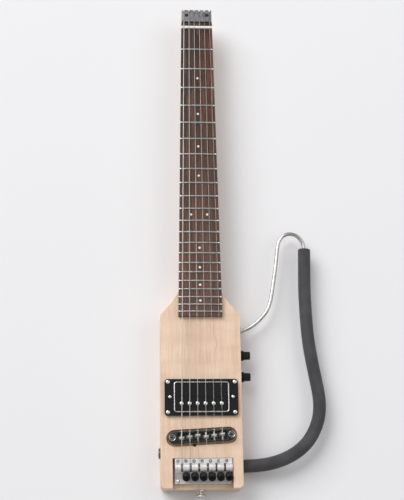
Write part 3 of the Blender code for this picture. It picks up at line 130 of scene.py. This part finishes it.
# Lap rest: the bare rod from its upper socket, then the line of the foam sleeve
BODY_SIDE = 51.25
REST_Z = 18.0
REST_UPPER_Y = 135.3
REST_PIN_DEPTH = 18.0
REST_PIN_BEND = 2.5
ROD_RADIUS = 2.5
ROD_LIP = 0.4
SLEEVE_RADIUS = 8.25
SLEEVE_LIP = 0.7
CURVE_SPANS = 6
REST_LOOP = (
    (52.45, 135.8), (65.6, 141.6), (76.7, 150.2), (87.2, 162.2), (93.4, 176.5), (97.4, 197.0),
    (101.9, 224.3), (105.3, 250.0), (108.0, 260.0), (114.6, 267.6), (123.4, 269.9), (132.6, 266.3),
    (139.0, 257.6), (140.9, 247.9),
)
SLEEVE_LINE = (
    (140.9, 247.9), (139.7, 208.3), (139.3, 184.0), (140.0, 152.0), (141.6, 124.6), (144.6, 100.9),
    (148.4, 77.6), (151.9, 55.0), (152.7, 38.2), (150.4, 22.2), (144.3, 6.4), (134.4, -8.3),
    (120.3, -20.3), (103.2, -29.0), (86.0, -34.0), (69.1, -36.2), (52.25, -37.0),
)

# The one dark line of the maple's grain, in metres: its place, its sway and how fast it fades
GRAIN_X = 0.0075
GRAIN_SWAY = 0.022
GRAIN_THINNESS = 1200.0
GRAIN_Y = 0.112
GRAIN_FADE = 22.0
GRAIN_STRENGTH = 0.55

# The camera, fitted to the photograph
FOCAL_PIXELS = 1137.36
FRAME_HEIGHT = 500
SENSOR_WIDTH = 36.0
CAMERA_PLACE = (-73.0, -191.2, 1462.0)
CAMERA_TURN = (16.912, -2.846, -0.759)

# Light and floor, in metres and watts: (name, place, target, size, power)
LIGHTS = (
    ("key", (-3.1, 3.9, 4.6), (0, 0.25, 0), 5.0, 372),
    ("fill", (2.2, 0.9, 2.8), (0, 0.2, 0), 2.4, 22),
)
WHITE = (1.0, 1.0, 1.0, 1)
HORIZON_GREY = (0.30, 0.30, 0.31)
HORIZON_SPAN = (0.08, 0.75)
WORLD_STRENGTH = 0.46
FLOOR_SIDE = 12.0
FLOOR_DROP = 0.0005
FLOOR_FADE = (0.9, 2.4)
FLOOR_GLOW = 0.95

# The sockets of a colour Mix node, which has several with the same name
MIX_FACTOR, MIX_FIRST, MIX_SECOND, MIX_RESULT = 0, 6, 7, 2


def metres(*values):
    return Vector([value * MM for value in values])


def make_camera():
    data = bpy.data.cameras.new("camera")
    data.sensor_fit = "AUTO"
    data.sensor_width = SENSOR_WIDTH
    data.lens = FOCAL_PIXELS * data.sensor_width / FRAME_HEIGHT
    data.clip_end = 50
    camera = bpy.data.objects.new("camera", data)
    bpy.context.scene.collection.objects.link(camera)
    camera.location = metres(*CAMERA_PLACE)
    camera.rotation_euler = [math.radians(angle) for angle in CAMERA_TURN]
    bpy.context.scene.camera = camera


# Node materials


class Nodes:
    """Builds one Principled material, with small helpers for its node tree."""

    def __init__(self, name, colour, roughness, metallic=0.0):
        self.material = bpy.data.materials.new(name)
        self.material.use_nodes = True
        self.tree = self.material.node_tree
        self.shader = self.tree.nodes["Principled BSDF"]
        self.shader.inputs["Base Color"].default_value = (*colour, 1)
        self.shader.inputs["Roughness"].default_value = roughness
        self.shader.inputs["Metallic"].default_value = metallic
        self.position = self.add("ShaderNodeTexCoord").outputs["Object"]

    def add(self, kind, **values):
        node = self.tree.nodes.new(kind)
        for key, value in values.items():
            if hasattr(node, key):
                setattr(node, key, value)
            else:
                node.inputs[key.replace("_", " ")].default_value = value
        return node

    def link(self, start, end):
        self.tree.links.new(start, end)

    def stretched(self, scale, place=(0, 0, 0)):
        mapping = self.add("ShaderNodeMapping")
        mapping.inputs["Scale"].default_value = scale
        mapping.inputs["Location"].default_value = place
        self.link(self.position, mapping.inputs["Vector"])
        return mapping.outputs["Vector"]

    def noise(self, vector, scale, detail=4.0, distortion=0.0):
        node = self.add("ShaderNodeTexNoise", Scale=scale, Detail=detail, Distortion=distortion)
        self.link(vector, node.inputs["Vector"])
        return node.outputs["Fac"]

    def ramp(self, factor, *stops):
        node = self.add("ShaderNodeValToRGB")
        while len(node.color_ramp.elements) < len(stops):
            node.color_ramp.elements.new(0.5)
        for element, (place, colour) in zip(node.color_ramp.elements, stops):
            element.position = place
            element.color = (*colour, 1)
        self.link(factor, node.inputs["Fac"])
        return node.outputs["Color"]

    def mix(self, factor, first, second, blend="MIX"):
        node = self.add("ShaderNodeMix")
        node.data_type = "RGBA"
        node.blend_type = blend
        if isinstance(factor, float):
            node.inputs[MIX_FACTOR].default_value = factor
        else:
            self.link(factor, node.inputs[MIX_FACTOR])
        for source, place in ((first, MIX_FIRST), (second, MIX_SECOND)):
            socket = node.inputs[place]
            if isinstance(source, tuple):
                socket.default_value = (*source, 1)
            else:
                self.link(source, socket)
        return node.outputs[MIX_RESULT]

    def colour(self, output):
        self.link(output, self.shader.inputs["Base Color"])

    def spread(self, value, source, target):
        """Maps a value from the source range to the target range."""
        node = self.add("ShaderNodeMapRange", From_Min=source[0], From_Max=source[1],
                        To_Min=target[0], To_Max=target[1])
        self.link(value, node.inputs["Value"])
        return node.outputs["Result"]

    def split(self):
        """The place on the surface as separate X, Y and Z outputs."""
        node = self.add("ShaderNodeSeparateXYZ")
        self.link(self.position, node.inputs["Vector"])
        return node.outputs

    def roughness(self, factor, low, high):
        self.link(self.spread(factor, (0.0, 1.0), (low, high)), self.shader.inputs["Roughness"])

    def bump(self, height, strength, distance):
        node = self.add("ShaderNodeBump", Strength=strength, Distance=distance)
        self.link(height, node.inputs["Height"])
        self.link(node.outputs["Normal"], self.shader.inputs["Normal"])


def linear(red, green, blue):
    """A colour read from the picture, 0 to 255, as the linear values that a shader takes."""
    return tuple(
        (c / 255 / 12.92) if c <= 10 else ((c / 255 + 0.055) / 1.055) ** 2.4
        for c in (red, green, blue)
    )


def grain_line(made):
    """How strongly one dark wavy line of the grain shows at each place."""
    def math_node(kind, first, second=None):
        node = made.add("ShaderNodeMath")
        node.operation = kind
        for socket, value in zip(node.inputs, (first, second)):
            if isinstance(value, float):
                socket.default_value = value
            elif value is not None:
                made.link(value, socket)
        return node.outputs[0]

    place = made.split()
    sway = made.noise(made.stretched((0.001, 30, 0.001), (0, 0.3, 0)), 1.0, 1.0)
    centre = math_node("ADD", math_node("MULTIPLY", sway, GRAIN_SWAY), GRAIN_X)
    away = math_node("ABSOLUTE", math_node("SUBTRACT", place["X"], centre))
    near = math_node("SUBTRACT", 1.0, math_node("MULTIPLY", away, GRAIN_THINNESS))
    along = math_node("ABSOLUTE", math_node("SUBTRACT", place["Y"], GRAIN_Y))
    fade = math_node("SUBTRACT", 1.0, math_node("MULTIPLY", along, GRAIN_FADE))
    shown = math_node("MULTIPLY", math_node("MAXIMUM", near, 0.0), math_node("MAXIMUM", fade, 0.0))
    return math_node("MULTIPLY", shown, GRAIN_STRENGTH)


def maple():
    made = Nodes("maple_wood", linear(228, 202, 174), 0.5)
    fine = made.noise(made.stretched((1500, 34, 900)), 1.0, 5.0, 0.3)
    bands = made.noise(made.stretched((120, 5, 120)), 1.0, 3.0, 0.8)
    flame = made.noise(made.stretched((26, 60, 26)), 1.0, 2.0, 0.5)
    base = made.ramp(bands, (0.30, linear(220, 188, 160)), (0.50, linear(235, 206, 182)),
                     (0.72, linear(244, 221, 200)))
    grain = made.ramp(fine, (0.32, linear(210, 174, 144)), (0.5, linear(233, 204, 179)),
                      (0.75, linear(246, 224, 203)))
    coloured = made.mix(0.42, base, grain)
    soft = made.ramp(flame, (0.35, linear(240, 226, 216)), (0.65, linear(255, 255, 255)))
    wood = made.mix(0.45, coloured, soft, "MULTIPLY")
    made.colour(made.mix(grain_line(made), wood, linear(186, 140, 112)))
    made.roughness(fine, 0.42, 0.60)
    made.bump(fine, 0.12, 0.0003)
    return made.material


def rosewood():
    made = Nodes("rosewood_oiled", linear(92, 66, 56), 0.45)
    streaks = made.noise(made.stretched((430, 17, 300)), 1.0, 8.0, 0.9)
    broad = made.noise(made.stretched((70, 5, 70)), 1.0, 3.0, 0.4)
    dark = made.ramp(streaks, (0.38, linear(10, 7, 7)), (0.49, linear(44, 29, 24)),
                     (0.62, linear(120, 74, 54)))
    warm = made.ramp(broad, (0.35, linear(26, 21, 19)), (0.65, linear(96, 50, 36)))
    paler = made.spread(made.split()["Y"], (0.15, 0.56), (0.34, 0.0))
    wood = made.mix(0.36, dark, warm)
    made.colour(made.mix(paler, wood, linear(132, 104, 90)))
    made.roughness(streaks, 0.38, 0.58)
    made.shader.inputs["Specular IOR Level"].default_value = 0.3
    made.bump(streaks, 0.25, 0.0003)
    return made.material


def worked_metal(name, low, high, roughness, scale=(300, 300, 300), strength=0.08, metallic=1.0):
    """Metal with faint marks from working, which vary its colour and its gloss."""
    made = Nodes(name, linear(*high), roughness, metallic)
    marks = made.noise(made.stretched(scale), 1.0, 4.0)
    made.colour(made.ramp(marks, (0.3, linear(*low)), (0.7, linear(*high))))
    made.roughness(marks, max(0.05, roughness - 0.07), roughness + 0.09)
    made.bump(marks, strength, 0.0001)
    return made.material


def moulded(name, low, high, roughness, scale=900, strength=0.12, gloss=0.28):
    """Plastic with a fine even texture."""
    made = Nodes(name, linear(*high), roughness)
    marks = made.noise(made.stretched((scale,) * 3), 1.0, 3.0)
    made.colour(made.ramp(marks, (0.3, linear(*low)), (0.7, linear(*high))))
    made.roughness(marks, roughness - 0.06, roughness + 0.1)
    made.bump(marks, strength, 0.0001)
    made.shader.inputs["Specular IOR Level"].default_value = gloss
    return made.material


def foam():
    made = Nodes("closed_cell_foam", linear(66, 66, 68), 0.85)
    cells = made.add("ShaderNodeTexVoronoi", Scale=1400.0)
    made.link(made.position, cells.inputs["Vector"])
    broad = made.noise(made.stretched((60, 60, 60)), 1.0, 3.0)
    made.colour(made.ramp(broad, (0.3, linear(56, 56, 58)), (0.7, linear(72, 72, 75))))
    made.roughness(cells.outputs["Distance"], 0.75, 0.95)
    made.bump(cells.outputs["Distance"], 0.25, 0.0002)
    made.shader.inputs["Sheen Weight"].default_value = 0.15
    return made.material


def wound_wire():
    made = Nodes("wound_wire", linear(206, 202, 197), 0.45, 0.8)
    wave = made.add("ShaderNodeTexWave", Scale=900.0, Distortion=0.0)
    wave.bands_direction = "Y"
    made.link(made.position, wave.inputs["Vector"])
    made.colour(made.ramp(wave.outputs["Fac"], (0.2, linear(196, 191, 185)),
                          (0.8, linear(226, 222, 217))))
    made.bump(wave.outputs["Fac"], 0.15, 0.0002)
    return made.material


def make_materials():
    return {
        "maple": maple(),
        "rosewood": rosewood(),
        "bone": moulded("bone_white", (228, 224, 214), (246, 243, 236), 0.3, 300, 0.03, 0.5),
        "grey_cast_metal": worked_metal("grey_casting", (98, 98, 101), (134, 133, 136), 0.4),
        "housing_metal": worked_metal("bright_casting", (222, 218, 218), (246, 243, 243), 0.34,
                                      metallic=0.55),
        "dark_metal": worked_metal("dark_plating", (44, 48, 47), (84, 88, 86), 0.36),
        "nickel": worked_metal("bright_nickel", (206, 202, 196), (232, 228, 223), 0.26,
                               strength=0.01),
        "steel": worked_metal("plain_steel", (160, 160, 160), (205, 205, 204), 0.3),
        "polished_steel": worked_metal("polished_steel", (184, 180, 176), (210, 206, 202), 0.24,
                                       (60, 60, 60), 0.02),
        "plain_string": worked_metal("plain_wire", (224, 221, 217), (244, 242, 239), 0.45,
                                     metallic=0.7),
        "wound_string": wound_wire(),
        "brass": worked_metal("brass", (96, 76, 40), (138, 112, 62), 0.35),
        "black_plastic": moulded("black_moulding", (8, 9, 11), (17, 19, 21), 0.36),
        "black_knob": moulded("black_knob", (10, 11, 13), (22, 24, 27), 0.34),
        "black_foam": foam(),
        "insulation": moulded("insulation", (20, 20, 20), (34, 34, 34), 0.5),
    }


MATERIALS = {}


def dress_nodes():
    """Gives each solid the look of its material slot, and the saddles a satin one."""
    satin = worked_metal("satin_nickel", (226, 222, 217), (247, 244, 240), 0.38, metallic=0.6)
    for part in frame["record"]["subparts"]:
        node = part["node"]
        look = satin if node.startswith("saddle") else MATERIALS[part["material_slot"]]
        for place in frame["nodes"][node].material_slots:
            place.material = look


# Pieces


def link(name, mesh, slot, body):
    """Adds a piece to the scene, with its material slot and the body that it moves with."""
    obj = bpy.data.objects.new(name, mesh)
    bpy.context.scene.collection.objects.link(obj)
    mesh.materials.append(MATERIALS[slot])
    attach(obj, body)
    return obj


def finish_mesh(name, bm, slot, body=ROOT):
    bmesh.ops.recalc_face_normals(bm, faces=bm.faces)
    mesh = bpy.data.meshes.new(name)
    bm.to_mesh(mesh)
    bm.free()
    mesh.shade_smooth()
    mesh.set_sharp_from_angle(angle=SHARP_EDGE)
    return link(name, mesh, slot, body)


def skin(bm, rings, capped=True):
    """Joins closed rings of points with faces, and caps the first and the last one."""
    for a, b in zip(rings, rings[1:]):
        for i in range(len(a)):
            j = (i + 1) % len(a)
            bm.faces.new((a[i], a[j], b[j], b[i]))
    if capped:
        bm.faces.new(rings[0])
        bm.faces.new(rings[-1])


def node_box(node):
    """The two corners of a solid's box."""
    return [Vector(corner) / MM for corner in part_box(node)]


def on_top(node, lift=0.0):
    """The transform that sets a turned piece in the middle of a solid's top."""
    low, high = node_box(node)
    return Matrix.Translation(metres((low.x + high.x) / 2, (low.y + high.y) / 2, high.z + lift))


def in_corners(node, across, along, height):
    """The transforms that set turned pieces in a solid's corners, this far in from its sides."""
    low, high = node_box(node)
    return [Matrix.Translation(metres(x, y, height))
            for x in (low.x + across, high.x - across) for y in (low.y + along, high.y - along)]


def spin(bm, profile, matrix, steps):
    """Turns (radius, height) points about the matrix's Z axis."""
    rings = []
    for radius, height in profile:
        if radius == 0:
            rings.append([bm.verts.new(matrix @ metres(0, 0, height))])
            continue
        rings.append([
            bm.verts.new(matrix @ metres(radius * math.cos(2 * math.pi * i / steps),
                                         radius * math.sin(2 * math.pi * i / steps), height))
            for i in range(steps)])
    for a, b in zip(rings, rings[1:]):
        for i in range(steps):
            j = (i + 1) % steps
            loop = [a[i % len(a)], a[j % len(a)], b[j % len(b)], b[i % len(b)]]
            loop = list(dict.fromkeys(loop))
            if len(loop) > 2:
                bm.faces.new(loop)


def screw_heads(name, slot, places, radius, height):
    """One piece of equal domed heads, each with a small pit in its middle."""
    dome = [(radius * across, height * up) for across, up in HEAD_SHARES]
    bm = bmesh.new()
    for place in places:
        spin(bm, [*dome, (radius, -HEAD_SUNK), (0, -HEAD_SUNK)], place, 24)
    finish_mesh(name, bm, slot)


def screws():
    """The small screws that the solids leave out: on the ring, the cover and the tuner housing,
    with dark rings of painted shade under the housing's grub screws.
    """
    flip = Matrix.Rotation(math.pi, 4, "X")
    ring_top = node_box("pickup_ring")[1].z + SCREW_LIFT
    ring_places = in_corners("pickup_ring", across=4.1, along=3.9, height=ring_top)
    cover_places = in_corners("cavity_cover", across=3.6, along=3.6, height=COVER_SCREW_Z)
    low, high = node_box("tuner_housing")
    housing_places = [Matrix.Translation(metres(x, low.y + 3, HOUSING_SCREW_Z))
                      for x in (low.x + 4.4, high.x - 2.9)]
    screw_heads("pickup_ring_screws", "nickel", ring_places, radius=2.6, height=1.1)
    screw_heads("pickup_height_screw_heads", "nickel",
                [on_top("pickup_height_screw_bass", SCREW_LIFT),
                 on_top("pickup_height_screw_treble", SCREW_LIFT)], radius=2.0, height=0.7)
    screw_heads("cavity_cover_screws", "dark_metal", [place @ flip for place in cover_places],
                radius=1.9, height=0.2)
    screw_heads("housing_screws", "nickel", housing_places, radius=2.2, height=1.0)
    grubs, painted_hole_shades = bmesh.new(), bmesh.new()
    for index in range(GRUB_COUNT):
        place = Matrix.Translation(metres(GRUB_START_X + GRUB_SPACING * index, GRUB_Y, GRUB_Z))
        spin(grubs, GRUB_SCREW, place, 16)
        # The dark ring under each grub screw is painted shade of its hole
        spin(painted_hole_shades, GRUB_HOLE_SHADE, place @ Matrix.Translation(metres(0, 0, -SCREW_LIFT)), 16)
    finish_mesh("housing_grub_screws", grubs, "steel")
    finish_mesh("housing_screw_painted_hole_shades", painted_hole_shades, "dark_metal")


def fret_place(number):
    return SCALE / 2 ** (number / 12)


def board_top(x):
    return BOARD_TOP - x * x / BOARD_CROWN


def fret_wire():
    """Round-crowned frets over the plain ones of the fingerboard, with small beads at their ends in
    a lighter metal than the frets, as painted highlights.
    """
    bm, ends = bmesh.new(), bmesh.new()
    for number in range(1, FRETS + 1):
        y = fret_place(number)
        width = NUT_WIDTH + BOARD_FLARE * (SCALE - y) / (SCALE - BOARD_END)
        half = width / 2 - FRET_INSET
        rings = []
        for step in range(FRET_SPANS + 1):
            x = half * (2 * step / FRET_SPANS - 1)
            ring = []
            for i in range(FRET_ARC + 1):
                angle = math.pi * i / FRET_ARC
                ring.append(bm.verts.new(metres(
                    x, y + FRET_HALF_WIDTH * math.cos(angle),
                    board_top(x) + LIFT + FRET_HEIGHT * math.sin(angle))))
            rings.append(ring)
        skin(bm, rings)
        # Each fret end gets a bead in the brighter nickel: a painted highlight where the rounded
        # end catches the light
        for side in (-1, 1):
            x = side * (half - FRET_END_INSET)
            place = Matrix.Translation(metres(x, y, board_top(x) + FRET_END_LIFT))
            spin(ends, FRET_END, place, 16)
    finish_mesh("fret_wires", bm, "steel")
    finish_mesh("fret_end_highlights", ends, "nickel")


def position_dots():
    bm = bmesh.new()
    spots = [(0, number) for number in SINGLE_DOTS]
    spots += [(-DOUBLE_DOT_X, DOUBLE_DOT), (DOUBLE_DOT_X, DOUBLE_DOT)]
    for x, number in spots:
        y = (fret_place(number) + fret_place(number - 1)) / 2
        spin(bm, DOT, Matrix.Translation(metres(x, y, board_top(x) + LIFT)), 24)
    finish_mesh("position_dots", bm, "bone")


def pole_screws():
    bm = bmesh.new()
    for index in range(6):
        x = (index - 2.5) * POLE_SPACING
        spin(bm, POLE_SCREW, Matrix.Translation(metres(x, POLE_Y, POLE_Z)), 24)
    finish_mesh("pole_screw_heads", bm, "nickel")


def catmull(points):
    """A smooth line through the points."""
    knots = [Vector(point) for point in points]
    knots = [2 * knots[0] - knots[1], *knots, 2 * knots[-1] - knots[-2]]
    found = []
    for a, b, c, d in zip(knots, knots[1:], knots[2:], knots[3:]):
        for i in range(CURVE_SPANS):
            t = i / CURVE_SPANS
            found.append(0.5 * (2 * b + (c - a) * t + (2 * a - 5 * b + 4 * c - d) * t**2
                                + (3 * b - a - 3 * c + d) * t**3))
    return [*found, knots[-2]]


def sweep(bm, line, radius, lip, steps):
    """A round tube along a flat line, with its two ends bevelled by the lip."""
    line = [Vector(point) for point in line]
    up = Vector((0, 0, 1))
    sections = []
    for i, point in enumerate(line):
        along = line[min(i + 1, len(line) - 1)] - line[max(i - 1, 0)]
        sections.append((point, along.normalized().cross(up).normalized(), radius))
    start, end = sections[0], sections[-1]
    first = (line[1] - line[0]).normalized()
    last = (line[-1] - line[-2]).normalized()
    sections = [(start[0], start[1], radius - lip), (start[0] + first * lip, start[1], radius),
                *sections[1:-1],
                (end[0] - last * lip, end[1], radius), (end[0], end[1], radius - lip)]
    rings = []
    for point, side, reach in sections:
        ring = []
        for j in range(steps):
            angle = 2 * math.pi * j / steps
            offset = side * math.cos(angle) + up * math.sin(angle)
            ring.append(bm.verts.new((point + offset * reach) * MM))
        rings.append(ring)
    skin(bm, rings)


def lap_rest():
    """Smooth forms of the rod and of the foam sleeve, along the solids' own lines."""
    loop = catmull([(x, y, REST_Z) for x, y in REST_LOOP])
    line = catmull([(x, y, REST_Z) for x, y in SLEEVE_LINE])
    deep, bend = BODY_SIDE - REST_PIN_DEPTH, BODY_SIDE - REST_PIN_BEND
    lower = SLEEVE_LINE[-1][1]
    upper_pin = [(deep, REST_UPPER_Y, REST_Z), (bend, REST_UPPER_Y, REST_Z)]
    lower_pin = [(bend, lower, REST_Z), (deep, lower, REST_Z)]
    bm = bmesh.new()
    sweep(bm, [*upper_pin, *loop, *line[1:], *lower_pin], ROD_RADIUS, ROD_LIP, 24)
    rod = finish_mesh("lap_rest_rod", bm, "polished_steel", "lap_rest")
    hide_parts("rest_rod")
    bm = bmesh.new()
    sweep(bm, line, SLEEVE_RADIUS, SLEEVE_LIP, 40)
    sleeve = finish_mesh("lap_rest_sleeve", bm, "black_foam", "lap_rest")
    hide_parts("rest_sleeve")


def rounded_outline(length, width, radius, steps=6):
    points = []
    for corner, (sx, sy) in enumerate(((1, 1), (-1, 1), (-1, -1), (1, -1))):
        for step in range(steps + 1):
            angle = math.radians(90 * corner + 90 * step / steps)
            points.append((sx * (length / 2 - radius) + radius * math.cos(angle),
                           sy * (width / 2 - radius) + radius * math.sin(angle)))
    return points


def cover_rim():
    """The bright rounded edge of the pickup's metal cover, which lies on the centre line."""
    low, high = node_box("pickup_cover")
    bm = bmesh.new()
    rings = []
    for inset, height in COVER_RIM:
        outline = rounded_outline(COVER_LENGTH - 2 * inset, COVER_WIDTH - 2 * inset,
                                  COVER_CORNER - inset)
        rings.append([bm.verts.new(metres(x, (low.y + high.y) / 2 + y, high.z + height))
                      for x, y in outline])
    skin(bm, [*rings, rings[0]], capped=False)
    finish_mesh("pickup_cover_rim", bm, "nickel")


def bridge_details():
    """Post rings with dark sockets, and the intonation screws' heads and shafts."""
    rings, sockets, screws = bmesh.new(), bmesh.new(), bmesh.new()
    for post in ("bridge_post_bass", "bridge_post_treble"):
        middle = on_top(post)
        spin(rings, POST_RIM, middle, 36)
        spin(rings, POST_SCREW_RIM, middle, 24)
        spin(sockets, POST_GROOVE, middle, 36)
        spin(sockets, POST_SOCKET, middle, 24)
    slant = (Matrix.Translation(metres(0, BRIDGE_Y, BRIDGE_Z))
             @ Matrix.Rotation(BRIDGE_SLANT, 4, "Z"))
    lie = Matrix.Rotation(-math.pi / 2, 4, "X")
    for index in range(6):
        x = (index - 2.5) * SADDLE_SPACING
        shaft = slant @ Matrix.Translation(metres(x, 0, 0)) @ lie
        spin(screws, INTONATION_HEAD, shaft, 20)
        spin(screws, INTONATION_SHAFT, shaft, 20)
    finish_mesh("bridge_post_rings", rings, "nickel")
    finish_mesh("intonation_screws", screws, "nickel")
    finish_mesh("bridge_post_sockets", sockets, "dark_metal")


def control_knobs():
    """Fluted knobs with a skirt, over the plain ones."""
    for node, body in (("knob_volume", "volume_control"), ("knob_tone", "tone_control")):
        low, high = node_box(node)
        seat = metres(KNOB_START, (low.y + high.y) / 2, (low.z + high.z) / 2)
        outward = Matrix.Translation(seat) @ Matrix.Rotation(math.pi / 2, 4, "Y")
        bm = bmesh.new()
        rings = []
        for height, radius, depth in KNOB_PROFILE:
            ring = []
            for i in range(KNOB_STEPS):
                angle = 2 * math.pi * i / KNOB_STEPS
                reach = radius - depth * (0.5 + 0.5 * math.cos(KNOB_FLUTES * angle))
                ring.append(bm.verts.new(outward @ metres(
                    reach * math.cos(angle), reach * math.sin(angle), height)))
            rings.append(ring)
        skin(bm, rings)
        finish_mesh(body + "_knob", bm, "black_knob", body)


# Light and floor


def floor_material():
    """White paper that turns into plain light far from the object, so no horizon shows."""
    made = Nodes("floor_paper", linear(236, 236, 238), 0.9)
    distance = made.add("ShaderNodeVectorMath")
    distance.operation = "LENGTH"
    made.link(made.position, distance.inputs[0])
    fade = made.spread(distance.outputs["Value"], FLOOR_FADE, (0.0, 1.0))
    glow = made.add("ShaderNodeEmission", Color=WHITE, Strength=FLOOR_GLOW)
    mixed = made.add("ShaderNodeMixShader")
    made.link(fade, mixed.inputs["Fac"])
    made.link(made.shader.outputs[0], mixed.inputs[1])
    made.link(glow.outputs[0], mixed.inputs[2])
    made.link(mixed.outputs[0], made.tree.nodes["Material Output"].inputs["Surface"])
    return made.material


def make_floor():
    """The floor lies just under the plane of the back."""
    mesh = bpy.data.meshes.new("floor")
    corners = [(x * FLOOR_SIDE, y * FLOOR_SIDE, 0) for x, y in ((-1, -1), (1, -1), (1, 1), (-1, 1))]
    mesh.from_pydata(corners, [], [(0, 1, 2, 3)])
    floor = bpy.data.objects.new("floor", mesh)
    floor.location.z = -FLOOR_DROP
    bpy.context.scene.collection.objects.link(floor)
    mesh.materials.append(floor_material())


def area_light(name, place, target, size, power):
    data = bpy.data.lights.new(name, "AREA")
    data.shape = "RECTANGLE"
    data.size = data.size_y = size
    data.energy = power
    light = bpy.data.objects.new(name, data)
    bpy.context.scene.collection.objects.link(light)
    light.location = place
    aim = Vector(target) - Vector(place)
    light.rotation_euler = aim.to_track_quat("-Z", "Y").to_euler()


def make_world():
    """A white room that is darker near the horizon, so that bright metal gets dark edges."""
    world = bpy.data.worlds.new("world")
    bpy.context.scene.world = world
    world.use_nodes = True
    tree = world.node_tree
    background = tree.nodes["Background"]
    direction = tree.nodes.new("ShaderNodeTexCoord")
    split = tree.nodes.new("ShaderNodeSeparateXYZ")
    tree.links.new(direction.outputs["Generated"], split.inputs["Vector"])
    ramp = tree.nodes.new("ShaderNodeValToRGB")
    shades = ((*HORIZON_GREY, 1), WHITE)
    for stop, place, shade in zip(ramp.color_ramp.elements, HORIZON_SPAN, shades):
        stop.position = place
        stop.color = shade
    tree.links.new(split.outputs["Z"], ramp.inputs["Fac"])
    rays = tree.nodes.new("ShaderNodeLightPath")
    seen = tree.nodes.new("ShaderNodeMix")
    seen.data_type = "RGBA"
    tree.links.new(rays.outputs["Is Camera Ray"], seen.inputs[MIX_FACTOR])
    tree.links.new(ramp.outputs["Color"], seen.inputs[MIX_FIRST])
    seen.inputs[MIX_SECOND].default_value = WHITE
    tree.links.new(seen.outputs[MIX_RESULT], background.inputs["Color"])
    background.inputs["Strength"].default_value = WORLD_STRENGTH


def make_light():
    for light in LIGHTS:
        area_light(*light)
    make_world()


def main():
    make_camera()
    MATERIALS.update(make_materials())
    dress_nodes()
    fret_wire()
    position_dots()
    pole_screws()
    screws()
    lap_rest()
    cover_rim()
    bridge_details()
    control_knobs()
    make_floor()
    make_light()
    bpy.context.scene.view_settings.view_transform = "Standard"


main()
